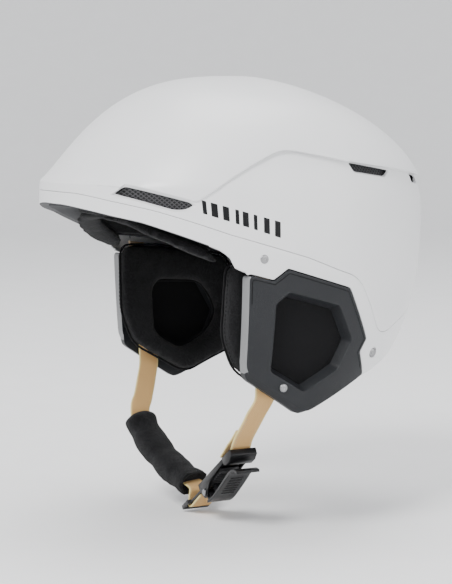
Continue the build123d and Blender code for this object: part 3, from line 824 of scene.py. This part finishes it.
nape_turns = np.linspace(125, 235, 70)
nape = arc_pad("nape_pad_fleece", nape_turns, np.full(70, -55.0), np.full(70, -40.0),
               np.full(70, 27.3),
               np.full(70, 34.0))
puff(nape, 0.003, 4.0, 0.001)
crumple(nape, 0.4, 8, 7.0)
settle(nape, "helmet", "fleece_black", "nape_pad")
print("brow pad and nape pad:", len(brow.data.polygons), "and", len(nape.data.polygons), "faces")

# %% [markdown]
# ## Ear modules
# Each ear module is a moulded anthracite cover with a sunk window. Stretch fabric closes the
# window's floor so that the wearer still hears, and a thick fleece ring sits against the head.
# The cover is drawn as an outline with a hole, laid on the head surface, with rounded lips and a
# tapered window wall.

# %% Ear covers and fabric
cover = panel("ear_cover_left_skin", flank, (EAR, COVER_RADII), [(WINDOW, 2.2)],
              [(2.4, -1.2), (1.0, -1.2), (0.4, -1.0), (0.1, -0.6), (0.0, 0.0), (0.0, 2.2),
               (0.0, 7.7), (0.3, 8.0)],
              [(1.8, -1.2), (0.7, -1.2), (0.3, -1.05), (0.0, -0.6), (-1.6, 3.0), (-3.2, 6.4),
               (-3.2, 8.0)], ANTHRACITE, 2.4)
# the lower front edge flares outwards, more towards the cover's back
bevel_from, bevel_to = np.array(EAR[8]), np.array(EAR[7])
bevel_run = (bevel_to - bevel_from) / np.linalg.norm(bevel_to - bevel_from)
bevel_out = np.array([bevel_run[1], -bevel_run[0]])
bevel_out *= np.sign(bevel_out @ (bevel_from - np.mean(EAR, axis=0)))
for v in cover.data.vertices:
    x, y, z = np.array(v.co) / MM
    deep = float(flank(y, z)[0]) - x
    off = abs((np.array([y, z]) - bevel_from) @ bevel_out)
    run = (np.array([y, z]) - bevel_from) @ bevel_run / np.linalg.norm(bevel_to - bevel_from)
    if off < 0.7 or (off < 3 and not 0.1 < run < 0.95 and deep > 0.5 and z < -60):
        push = 2.8 * np.clip((deep + 0.7) / 3.0, 0, 1) * smoothstep(1.12 - abs(2 * run - 1), 0,
                                                                    0.3) * MM
        v.co.y, v.co.z = v.co.y + bevel_out[0] * push, v.co.z + bevel_out[1] * push
cover.data.update()
smooth(cover, 14)
cover.data.materials.append(GREY)
for face in cover.data.polygons:
    if face.normal.y < -0.64 and face.center.y < -0.040 and face.center.z > -0.0715:
        face.material_index = 1


def slack(y, z, depth):
    """The head surface with a shallow hollow in the middle of the window, where fabric gives."""
    return flank(y, z, depth + 0.8 * np.exp(-((y - 2) ** 2 + (z + 50) ** 2) / 700))


fabric = panel("ear_fabric_left_skin", slack, (offset_corners(WINDOW, 2.2), 2.0), [],
               [(0.6, 6.2), (0.0, 6.6), (0.0, 7.8)], [], STRETCH)
line = outline(EAR, COVER_RADII, 2.1)
upper = line[:, 1] + 0.55 * line[:, 0] > -52
line = np.roll(line, -int(np.argmax(upper & ~np.roll(upper, 1))), axis=0)[:int(upper.sum())]
groove = tube("ear_groove_left", flank(line[:, 0], line[:, 1], -1.12), 0.28, STRETCH, closed=False)
both_sides(groove, "cover_anthracite")
both_sides(cover, "cover_anthracite", "ear_cover_{}")
for obj in both_sides(fabric, "stretch_black", "ear_fabric_{}"):
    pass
print("ear covers:", len(cover.data.polygons), "faces each")

# %% [markdown]
# The ear pad is a ring of foam in a fleece cover, cut in two faces and joined by a welted seam
# round the middle. One pad is inflated and mirrored, so both sides match as they do when they
# come from one pattern.

# %% Ear pads
PAD_RADII = [9, 5, 7, 9, 8, 9, 9, 9]
bulge = [(4.6, 13.2), (2.2, 14.0), (0.8, 15.8), (0.1, 18.4), (0.0, 20.6), (0.1, 22.8), (0.8, 25.4),
         (2.2, 27.2),
         (4.6, 28.0)]
ear_pad = panel("ear_pad_left_fleece", flank, (PAD, PAD_RADII), [(EAR_HOLLOW, 8)], bulge, bulge,
                FLEECE, 4.0)
puff(ear_pad, 0.0042, 4.0, 0.0035)
crumple(ear_pad, 0.6, 18, 1.5)
seams = outline(PAD, PAD_RADII, -0.6), outline(EAR_HOLLOW, 8, 0.4)
welts = [tube(f"ear_welt_left_{k}", flank(line[:, 0], line[:, 1], 20.6), 0.8, STRETCH)
         for k, line in enumerate(seams)]
for obj in both_sides(ear_pad, "fleece_black", "ear_pad_{}"):
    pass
for welt in welts:
    both_sides(welt, "fleece_black", "ear_pad_{}")
print("ear pads:", len(ear_pad.data.polygons), "faces each")

# %% [markdown]
# ## Repeats with geometry nodes
# Vent mesh wires and stitches are many copies of one small thing, so they come from node trees:
# one turns the edges of a drawn net into round wires, the other spaces threads evenly along a
# seam. Both are made plain meshes at the end.

# %% Geometry node helpers
def geometry_tree(name, inputs):
    """An empty geometry tree with its end nodes and the identifiers of its named inputs."""
    tree = bpy.data.node_groups.new(name, "GeometryNodeTree")
    tree.interface.new_socket("Geometry", in_out="INPUT", socket_type="NodeSocketGeometry")
    keys = {}
    for label, kind in inputs:
        keys[label] = tree.interface.new_socket(label, in_out="INPUT",
                                                socket_type="NodeSocket" + kind).identifier
    tree.interface.new_socket("Geometry", in_out="OUTPUT", socket_type="NodeSocketGeometry")
    return tree, tree.nodes.new("NodeGroupInput"), tree.nodes.new("NodeGroupOutput"), keys


def wires_tree():
    """Every edge becomes a round wire with closed ends."""
    tree, i, o, keys = geometry_tree("net_wires", [("Radius", "Float"), ("Material", "Material")])
    line = wire(tree, "GeometryNodeMeshToCurve", [("Mesh", i.outputs[0])])
    ring = wire(tree, "GeometryNodeCurvePrimitiveCircle",
                [("Radius", i.outputs["Radius"]), ("Resolution", 6)])
    body = wire(tree, "GeometryNodeCurveToMesh",
                [("Curve", line.outputs[0]), ("Profile Curve", ring.outputs[0]),
                 ("Fill Caps", True)])
    real = wire(tree, "GeometryNodeRealizeInstances", [("Geometry", body.outputs[0])])
    paint = wire(tree, "GeometryNodeSetMaterial",
                 [("Geometry", real.outputs[0]), ("Material", i.outputs["Material"])])
    tree.links.new(paint.outputs[0], o.inputs[0])
    return tree, keys


def threads_tree():
    """Every line carries long beads at an even spacing, turned along it."""
    tree, i, o, keys = geometry_tree("threads",
                                     [("Spacing", "Float"), ("Length", "Float"),
                                      ("Radius", "Float"), ("Material", "Material")])
    line = wire(tree, "GeometryNodeMeshToCurve", [("Mesh", i.outputs[0])])
    even = wire(tree, "GeometryNodeResampleCurve",
                [("Curve", line.outputs[0]), ("Length", i.outputs["Spacing"])],
                mode="LENGTH")
    ball = wire(tree, "GeometryNodeMeshUVSphere", [("Segments", 8), ("Rings", 6), ("Radius", 1.0)])
    along = wire(tree, "GeometryNodeInputTangent")
    turn = wire(tree, "FunctionNodeAlignRotationToVector", [("Vector", along.outputs[0])],
                axis="X")
    size = wire(tree, "ShaderNodeCombineXYZ", [(0, i.outputs["Length"]), (1, i.outputs["Radius"]),
                                               (2, i.outputs["Radius"])])
    many = wire(tree, "GeometryNodeInstanceOnPoints",
                [("Points", even.outputs[0]), ("Instance", ball.outputs[0]),
                 ("Rotation", turn.outputs[0]), ("Scale", size.outputs[0])])
    real = wire(tree, "GeometryNodeRealizeInstances", [("Geometry", many.outputs[0])])
    paint = wire(tree, "GeometryNodeSetMaterial",
                 [("Geometry", real.outputs[0]), ("Material", i.outputs["Material"])])
    tree.links.new(paint.outputs[0], o.inputs[0])
    return tree, keys


WIRES, THREADS = wires_tree(), threads_tree()


def grown(name, verts, edges, tree, **values):
    """Run a node tree over drawn lines and keep the result as a plain mesh."""
    mesh = bpy.data.meshes.new(name)
    mesh.from_pydata((np.asarray(verts, float) * MM).tolist(), edges, [])
    obj = bpy.data.objects.new(name, mesh)
    bpy.context.scene.collection.objects.link(obj)
    modifier = obj.modifiers.new("grow", "NODES")
    modifier.node_group = tree[0]
    for label, value in values.items():
        modifier[tree[1][label]] = value
    apply_modifiers(obj)
    smooth(obj, 50)
    return obj


def stitches(name, points, material, spacing=2.6, length=0.95, radius=0.26):
    """A row of threads along a line of points in millimetres."""
    edges = [(k, k + 1) for k in range(len(points) - 1)]
    return grown(name, points, edges, THREADS, Spacing=spacing * MM, Length=length * MM,
                 Radius=radius * MM,
                 Material=material)


print("node trees ready:", WIRES[0].name, THREADS[0].name)

# %% [markdown]
# A coarse net of plastic wire, backed by dark open foam, keeps snow out of the vents. The net is
# a slanted lattice clipped to each vent and laid just under the shell.

# %% Vent mesh
NET_PITCH, NET_STEP, WIRE_RADIUS = 2.6, 0.65, 0.32


def vent_net(name, corners, depth):
    """A crossed net clipped to a vent, with a sheet of foam behind it."""
    loop = outline(corners, 2, -1.2)
    low, high = loop.min(0), loop.max(0)
    verts, edges = [], []
    for slope in (1, -1):
        for start in np.arange(low[0] - (high[1] - low[1]), high[0] + (high[1] - low[1]),
                               NET_PITCH):
            last = None
            for t in np.arange(0, high[1] - low[1] + 0.1, NET_STEP):
                y, z = start + t, (low[1] + t if slope > 0 else high[1] - t)
                if inside(Vector((y, z)), [loop]):
                    verts.append((y, z))
                    if last is not None:
                        edges.append((last, len(verts) - 1))
                    last = len(verts) - 1
                else:
                    last = None
    verts = np.array(verts)
    net = grown(name + "_net", flank(verts[:, 0], verts[:, 1], depth), edges, WIRES,
                Radius=WIRE_RADIUS * MM, Material=MESH)
    backing = panel(name + "_foam", flank, (corners, 2), [],
                    [(-1.2, depth + 0.8), (-1.2, depth + 2.2)], [], FOAM_DARK)
    return [net, backing]


nets = vent_net("front_vent_left", FRONT_VENT, 3.6)
for k, corners in enumerate(REAR_VENTS):
    nets += vent_net(f"rear_vent_left_{k}", corners, 6.6)
for left in nets:
    node = "front_vent_mesh" if left.name.startswith("front") else "rear_vent_mesh"
    both_sides(left, "vent_mesh", node)
print("vent pieces:", 2 * len(nets))

# %% [markdown]
# ## Rivets, hem and mark
# Silver rivets hold the strap anchors and the ear covers; each is turned from one profile. A
# welt finishes the lining's hem. A plain row of slanted bars is laid into each side of the crown
# as its only decoration.

# %% Rivets
def rivet(name, place, lift, radius, high):
    """A domed rivet head with a rolled rim and a centre dimple, square to the side."""
    profile = [(0.0, -0.25), (0.9, -0.2), (1.2, 0.0), (radius * 0.75, -0.08),
               (radius - 0.35, -0.3),
               (radius, -0.8), (radius, -high), (radius * 0.8, -high - 0.1), (0.0, -high - 0.1)]
    centre = flank(*place, 0.0) + np.array([lift, 0, 0])
    angle = np.linspace(0, 2 * pi, 40, endpoint=False)
    rings = [centre + np.stack([np.full(40, x), r * np.cos(angle), r * np.sin(angle)], 1) for r,
             x in profile]
    return piece(name, np.concatenate(rings), rows_to_faces(len(profile), 40), SILVER, 35)


for name, place, lift, radius, high in (("temple_rivets", TEMPLE_RIVET, 0.5, 3.1, 2.3),
                                        ("rear_rivets", REAR_RIVET, -0.1, 3.0, 1.3),
                                        ("cover_rivets", COVER_RIVET, 2.6, 2.8, 1.4)):
    both_sides(rivet(name + "_left", place, lift, radius, high), "rivet_silver", name)
print("rivets placed")

# %% [markdown]
# The hem is a welt sewn round the lining's edge, so it is a thin tube along that edge. The bars
# and the small catches at the brim's ends are thin mouldings. They are drawn flat and laid on the
# shell's surface, which keeps their depth even on a curve.

# %% Hem, catch and bars
hem_turns = np.arange(0, 360, 3.0)
hem = tube("comfort_lining_hem",
           skin(hem_turns, height_on(LINING_EDGE, hem_turns, 29) + 0.6, 29.0), 1.1, STRETCH)
settle(hem, "helmet", "stretch_black", "comfort_lining")


def crown_face(y, z, depth):
    """Point on the crown's outer face, set-back panel included, from a side view."""
    y, z = np.asarray(y, float), np.asarray(z, float)
    length = np.where(y < 0, reach(z, 0, *FRONT), reach(z, 0, *REAR))
    turn = np.degrees(np.arccos(np.clip(-np.sign(y) * np.abs(y / length) ** (OVAL_POWER / 2), -1,
                                        1)))
    back = crown_depth(turn, z, np.interp(y, *zip(*SEAM)), np.interp(y, *zip(*LEDGE)))
    return flank(y, z, back + depth)


mark_start, mark_end = np.array([-75.0, 36.0]), np.array([-22.0, 19.5])
along = (mark_end - mark_start) / np.linalg.norm(mark_end - mark_start)
upward = np.array([-along[1], along[0]])
bars = [0.03, 0.14, 0.27, 0.40, 0.50, 0.62, 0.76, 0.90]
widths = [2.6, 4.2, 4.2, 2.6, 4.2, 2.6, 4.2, 4.2]
for k, (share, width) in enumerate(zip(bars, widths)):
    centre = mark_start + (mark_end - mark_start) * share
    tall = upward * (4.0 + 1.0 * share) - along * 1.5
    corners = [centre - along * width / 2 - tall, centre + along * width / 2 - tall,
               centre + along * width / 2 + tall, centre - along * width / 2 + tall]
    bar = panel(f"mark_bar_left_{k}", crown_face, (corners, 0.5), [],
                [(0.2, -0.12), (0.0, 0.0), (0.0, 0.8)], [], INK, 2.0)
    both_sides(bar, "cover_anthracite")

catch = panel("brim_catch_left", flank,
              ([(-48.5, -4.2), (-39, -7.2), (-39.5, -9.2), (-48, -6.4)], 0.6), [],
              [(0.5, 0.4), (0.0, 0.9), (0.0, 6.0)], [], GREY, 2.0)
both_sides(catch, "plastic_black")
print("hem, catches and", len(bars), "bars per side")

# %% [markdown]
# ## Moulded fittings
# The dial, belts, clip and buckle are precise parts, so they keep their designed shape. Moulded
# plastic never has a knife edge, so each is copied, cleaned and given small rounded edges.

# %% Fittings
def soften(node, body, slot_name, material, width=0.3):
    """A designed part with small rounded edges."""
    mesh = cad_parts[node].data.copy()
    work = bmesh.new()
    work.from_mesh(mesh)
    bmesh.ops.remove_doubles(work, verts=work.verts, dist=1e-6)
    bmesh.ops.dissolve_limit(work, angle_limit=radians(1.5), verts=work.verts, edges=work.edges)
    work.to_mesh(mesh)
    work.free()
    mesh.materials.clear()
    mesh.materials.append(material)
    obj = bpy.data.objects.new(node + "_made", mesh)
    bpy.context.scene.collection.objects.link(obj)
    edge = obj.modifiers.new("round", "BEVEL")
    edge.width, edge.segments = width * MM, 2
    edge.limit_method, edge.angle_limit = "ANGLE", radians(35)
    apply_modifiers(obj)
    smooth(obj, 35)
    return settle(obj, body, slot_name, node)


fittings = {row[0]: soften(*row) for row in (
    ("dial_housing", "helmet", "plastic_black", BLACK, 0.5),
    ("dial_knob", "fit_dial", "rubber_black", RUBBER, 0.5),
    ("dial_pinion", "fit_dial", "plastic_black", RAIL, 0.15),
    ("fit_belt_left", "belt_left", "plastic_black", BLACK, 0.2),
    ("fit_belt_right", "belt_right", "plastic_black", BLACK, 0.2),
    ("clip_base", "helmet", "plastic_black", BLACK, 0.4),
    ("clip_pin", "helmet", "rivet_silver", SILVER, 0.15),
    ("goggle_clip", "clip_flap", "plastic_black", BLACK, 0.4),
    ("buckle_body", "chin_strap", "plastic_black", BLACK, 0.35),
    ("buckle_pin", "chin_strap", "rivet_silver", SILVER, 0.25),
    ("strap_adjuster", "chin_strap", "plastic_black", BLACK, 0.45),
    ("buckle_lever", "release_lever", "plastic_black", BLACK, 0.3),
    ("ladder", "ratchet_tongue", "plastic_black", RAIL, 0.2))}
for node, material in (("ear_web_left", THREAD), ("ear_web_right", THREAD),
                       ("lever_spring", SILVER)):
    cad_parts[node].data.materials.clear()
    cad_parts[node].data.materials.append(material)
print("fittings softened:", len(fittings))

# %% [markdown]
# Small ribs on the lever give the thumb a grip. Each rib is set down on the lever's real face by
# looking along the face's normal until it is met.

# %% Lever ribs
PIN = np.array([23.8, -27.0, -165.5])
TILT = radians(34.3)


def on_buckle(x, out, y=0.0):
    """Point near the buckle: x along it from the pin, out away from the chin, y across."""
    return PIN + np.array([x * cos(TILT) + out * sin(TILT), y, x * sin(TILT) - out * cos(TILT)])


RIB = ((-5.2, 0.2), (-4.9, 0.5), (-4.0, 0.6), (4.0, 0.6), (4.9, 0.5), (5.2, 0.2))  # place, radius
outward = Vector((sin(TILT), 0, -cos(TILT)))
angle = np.linspace(0, 2 * pi, 12, endpoint=False)[:, None]
circle = np.cos(angle) * np.array(outward) + np.sin(angle) * np.array([cos(TILT), 0, sin(TILT)])
ribs = []
for k in range(7):
    start = Vector(on_buckle(14 + 3.2 * k, 30) * MM)
    hit, place, _, _ = fittings["buckle_lever"].ray_cast(start, -outward)
    if hit:
        base = np.array(place) / MM
        rings = [base + np.array([0, y, 0]) + r * circle for y, r in RIB]
        ribs.append(loft(f"lever_rib_{k}", rings, BLACK))
for rib in ribs:
    settle(rib, "release_lever", "plastic_black")
print("lever ribs:", len(ribs))

# %% [markdown]
# ## Webbing
# The chin strap is flat twill webbing, 15 mm wide. A ribbon with rounded edges is swept along
# each run, with its own UV map in millimetres for the weave, and a slow ripple because webbing
# under no load never lies quite flat.

# %% Webbing straps
def smooth_path(points, step=1.2):
    """Evenly spaced points on a smooth curve through the given ones."""
    p = np.array(points, float)
    p = np.concatenate([[2 * p[0] - p[1]], p, [2 * p[-1] - p[-2]]])
    out = []
    for a, b, c, d in zip(p, p[1:], p[2:], p[3:]):
        for t in np.linspace(0, 1, 24, endpoint=False):
            out.append(0.5 * (2 * b + (c - a) * t + (2 * a - 5 * b + 4 * c - d) * t**2
                              + (3 * b - a - 3 * c + d) * t**3))
    out = np.array(out + [p[-2]])
    run = np.concatenate([[0], np.cumsum(np.linalg.norm(np.diff(out, axis=0), axis=1))])
    even = np.linspace(0, run[-1], max(4, int(run[-1] / step)))
    return np.stack([np.interp(even, run, out[:, k]) for k in range(3)], 1), even


def ribbon_frame(path, across=(0, 1, 0)):
    """Unit directions of width and thickness along a path."""
    ahead = np.gradient(path, axis=0)
    ahead /= np.linalg.norm(ahead, axis=1, keepdims=True)
    side = np.array(across, float) - (ahead @ np.array(across, float))[:, None] * ahead
    side /= np.linalg.norm(side, axis=1, keepdims=True)
    return side, np.cross(ahead, side)


def webbing(name, points, width=15.0, thick=1.5, ripple=0.22, seed=0.0, part=(0, 1)):
    """A woven ribbon along a route or a part of it, with UVs in millimetres."""
    path, run = smooth_path(points)
    side, over = ribbon_frame(path)
    whole = len(path)
    cut = slice(int(part[0] * (whole - 1)), int(part[1] * (whole - 1)) + 1)
    places = range(whole)[cut]
    half, t = width / 2, thick / 2
    face = np.linspace(-half + 0.5, half - 0.5, 9)
    curl = [(half - 0.1, t * 0.6), (half, 0), (half - 0.1, -t * 0.6)]
    section = [(v, t) for v in face] + curl
    section += [(-v, -n) for v, n in section]
    verts, flat = [], []
    for k in places:
        centre, fade = path[k], min(1, k / 6, (whole - 1 - k) / 6)
        for v, n in section:
            lift = ripple * fade * 2 * noise.noise(Vector((run[k] / 11 + seed, v / 13, seed)))
            verts.append(centre + side[k] * v + over[k] * (n + lift))
            flat.append((run[k], v))
    around = len(section)
    faces = rows_to_faces(len(places), around)
    faces += [tuple(range(around))[::-1], tuple(range(len(verts) - around, len(verts)))]
    mesh = bpy.data.meshes.new(name)
    mesh.from_pydata((np.array(verts) * MM).tolist(), [], faces)
    layer = mesh.uv_layers.new(name="weave")
    for loop in mesh.loops:
        layer.data[loop.index].uv = flat[loop.vertex_index]
    work = bmesh.new()
    work.from_mesh(mesh)
    bmesh.ops.recalc_face_normals(work, faces=work.faces)
    work.to_mesh(mesh)
    work.free()
    obj = bpy.data.objects.new(name, mesh)
    bpy.context.scene.collection.objects.link(obj)
    mesh.materials.append(WEBBING)
    smooth(obj, 50)
    return obj


EXIT = flank(-26.0, -76.5, 10.6)
LEFT = [EXIT, (92.3, -26, -84), (90.6, -26, -92), (80, -26, -102.7), (70.5, -26.3, -113.4),
        (63, -26.8, -122), on_buckle(48.6, -9.6)]
TAIL = [(65.3, -26.6, -116.5), (57.5, -27, -124.5), (49.5, -27, -131.5), (43, -27, -137.5)]
RIGHT = [EXIT * (-1, 1, 1), (-92.3, -26, -84), (-90.8, -26.6, -92), (-89, -29.5, -102.8),
         (-85.7, -33.4, -114.5), (-82.6, -37.2, -121), (-77, -39.6, -130)]
PAD_ROUTE = [(-80, -40, -126), (-70, -38, -139), (-56, -35.2, -149.6), (-40, -32.6, -158),
             (-24, -30, -163.5),
             (-10, -27, -167)]
CHIN = PAD_ROUTE[1:] + [on_buckle(x, out) for x, out in
                        ((-25.5, -13.5), (-29.5, -9.5), (-33.4, -5), (-30, -2.6), (-22, -2.8),
                         (-12, -2.9))]


def seam_rows(name, points, share_from, share_to, offset=5.6, lift=0.82):
    """Two rows of stitches along part of a strap, on both faces."""
    path, _ = smooth_path(points)
    side, over = ribbon_frame(path)
    part = slice(int(share_from * len(path)), int(share_to * len(path)))
    places = ((offset, lift), (-offset, lift), (offset, -lift), (-offset, -lift))
    return [stitches(f"{name}_{k}", path[part] + side[part] * edge + over[part] * face,
                     THREAD, 2.2, 0.8, 0.24)
            for k, (edge, face) in enumerate(places)]


strap_left = webbing("strap_left_web", LEFT, seed=1.0)
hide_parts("strap_left")
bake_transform(strap_left)
settle(webbing("strap_left_tail_web", TAIL, seed=4.0), "chin_strap", "webbing_tan",
       "strap_left_tail")
right_exit = webbing("strap_right_exit_web", RIGHT, seed=7.0, part=(0, 0.5))
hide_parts("strap_right")
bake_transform(right_exit)
strap_right = webbing("strap_right_web", RIGHT, seed=7.0, part=(0.5, 1))
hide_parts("strap_right")
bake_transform(strap_right)
settle(webbing("strap_chin_web", CHIN, seed=9.0, ripple=0.1), "ratchet_tongue", "webbing_tan",
       "strap_chin")
for row in seam_rows("stitch_left", LEFT, 0.55, 0.95) + seam_rows("stitch_tail", TAIL, 0.05, 0.95):
    settle(row, "chin_strap", "webbing_tan")
print("straps made; chin strap run", round(float(smooth_path(CHIN)[1][-1])), "mm")

# %% [markdown]
# ## Chin pad
# A fleece sleeve slides on the strap under the chin. It is a soft tube with an open mouth at the
# buckle end and a closed seam along its outer side, and it creases where the strap turns.

# %% Chin pad
path, run = smooth_path(PAD_ROUTE, 1.8)
side, over = ribbon_frame(path)
ring_shape = superoval(30, 2.3)
PAD_HALF_WIDE, PAD_HALF_THICK = 12.2, 9.6


def pad_ring(k, scale):
    """One section of the sleeve round the strap."""
    return (path[k] + side[k] * ring_shape[:, :1] * PAD_HALF_WIDE * scale
            + over[k] * ring_shape[:, 1:] * PAD_HALF_THICK * scale)


rings = [pad_ring(k, 1 - 0.10 * abs(sin(at / 9.0)) ** 6 - 0.55 * max(0, 1 - at / 5.0) ** 2)
         for k, at in enumerate(run)]
# the mouth turns inwards over the last few sections
rings += [pad_ring(len(path) - 1 - back, scale) for scale,
          back in ((0.93, 0), (0.84, 1), (0.78, 3))]
chin_pad = loft("chin_pad_fleece", rings, FLEECE)
puff(chin_pad, 0.0022, 3.0, 0.0012)
crumple(chin_pad, 0.24, 14, 2.0, (1.6, 0.7, 1.6))
settle(chin_pad, "ratchet_tongue", "fleece_black", "chin_pad")
seam_line = path[3:-2] - over[3:-2] * 8.4
chin_seam = tube("chin_pad_seam", seam_line + side[3:-2] * 1.5, 0.7, STRETCH, closed=False)
settle(chin_seam, "ratchet_tongue", "stretch_black")
ear_rows = outline(PAD, PAD_RADII)
ear_rows = np.concatenate([ear_rows, ear_rows[:1]])
both_sides(stitches("ear_stitch_left", flank(ear_rows[:, 0], ear_rows[:, 1], 17.6), STRETCH,
                    2.8, 0.9, 0.3), "fleece_black")
print("chin pad:", len(chin_pad.data.polygons), "faces")

# %% [markdown]
# ## Stage
# A pale floor just under the buckle curves up into a wall all round. The sky is pale and the
# lights are large and soft. The camera looks at the helmet from its front left and slightly
# above.

# %% Floor, light and camera
FLOOR_HEIGHT = -0.1862
FLOOR_SIDES = 96
around = np.linspace(0, 2 * pi, FLOOR_SIDES, endpoint=False)
bend = np.linspace(0, pi / 2, 14)
profile = [(0.02, 0.0), (1.0, 0.0), (2.0, 0.0)]
profile += [(3.0 + 1.5 * sin(b), 1.5 - 1.5 * cos(b)) for b in bend] + [(4.5, 3.5)]
rings = [np.stack([r * np.cos(around), r * np.sin(around), np.full(FLOOR_SIDES, h + FLOOR_HEIGHT)],
                  1)
         / MM for r, h in profile]
floor = piece("floor", np.concatenate(rings),
              rows_to_faces(len(rings), FLOOR_SIDES) + [tuple(range(FLOOR_SIDES))],
              surface("floor_pale", "grain", (0.90, 0.90, 0.90), (0.94, 0.94, 0.94), 0.95, 300,
                      0.02), 60)

world = bpy.data.worlds.new("pale")
bpy.context.scene.world = world
world.use_nodes = True
sky = world.node_tree.nodes["Background"].inputs
sky["Color"].default_value, sky["Strength"].default_value = (0.95, 0.965, 1.0, 1), 0.9


def soft_light(name, place, size, power):
    """A square light that faces the origin."""
    light = bpy.data.lights.new(name, "AREA")
    light.size, light.energy = size, power
    obj = bpy.data.objects.new(name, light)
    obj.location = place
    obj.rotation_euler = Vector(place).to_track_quat("Z", "Y").to_euler()
    bpy.context.scene.collection.objects.link(obj)


soft_light("key", (0.9, -1.6, 1.7), 0.9, 62)
soft_light("fill", (1.9, 0.9, 0.6), 1.4, 16)
soft_light("top", (-0.4, 0.3, 2.2), 1.4, 30)

CAMERA_TARGET = Vector((0, -0.008, -0.030))
CAMERA_DISTANCE = 1.2584
CAMERA_TURN, CAMERA_RISE = radians(63.04), radians(5.7377)
FIELD_OF_VIEW = radians(18.47860)
back = Vector((sin(CAMERA_TURN) * cos(CAMERA_RISE), -cos(CAMERA_TURN) * cos(CAMERA_RISE),
               sin(CAMERA_RISE)))
camera = bpy.data.objects.new("camera", bpy.data.cameras.new("camera"))
camera.location = CAMERA_TARGET + back * CAMERA_DISTANCE
camera.rotation_euler = back.to_track_quat("Z", "Y").to_euler()
camera.data.sensor_fit = "VERTICAL"
camera.data.angle = FIELD_OF_VIEW
camera.data.clip_end = 100
bpy.context.scene.collection.objects.link(camera)
bpy.context.scene.camera = camera
print("stage set")
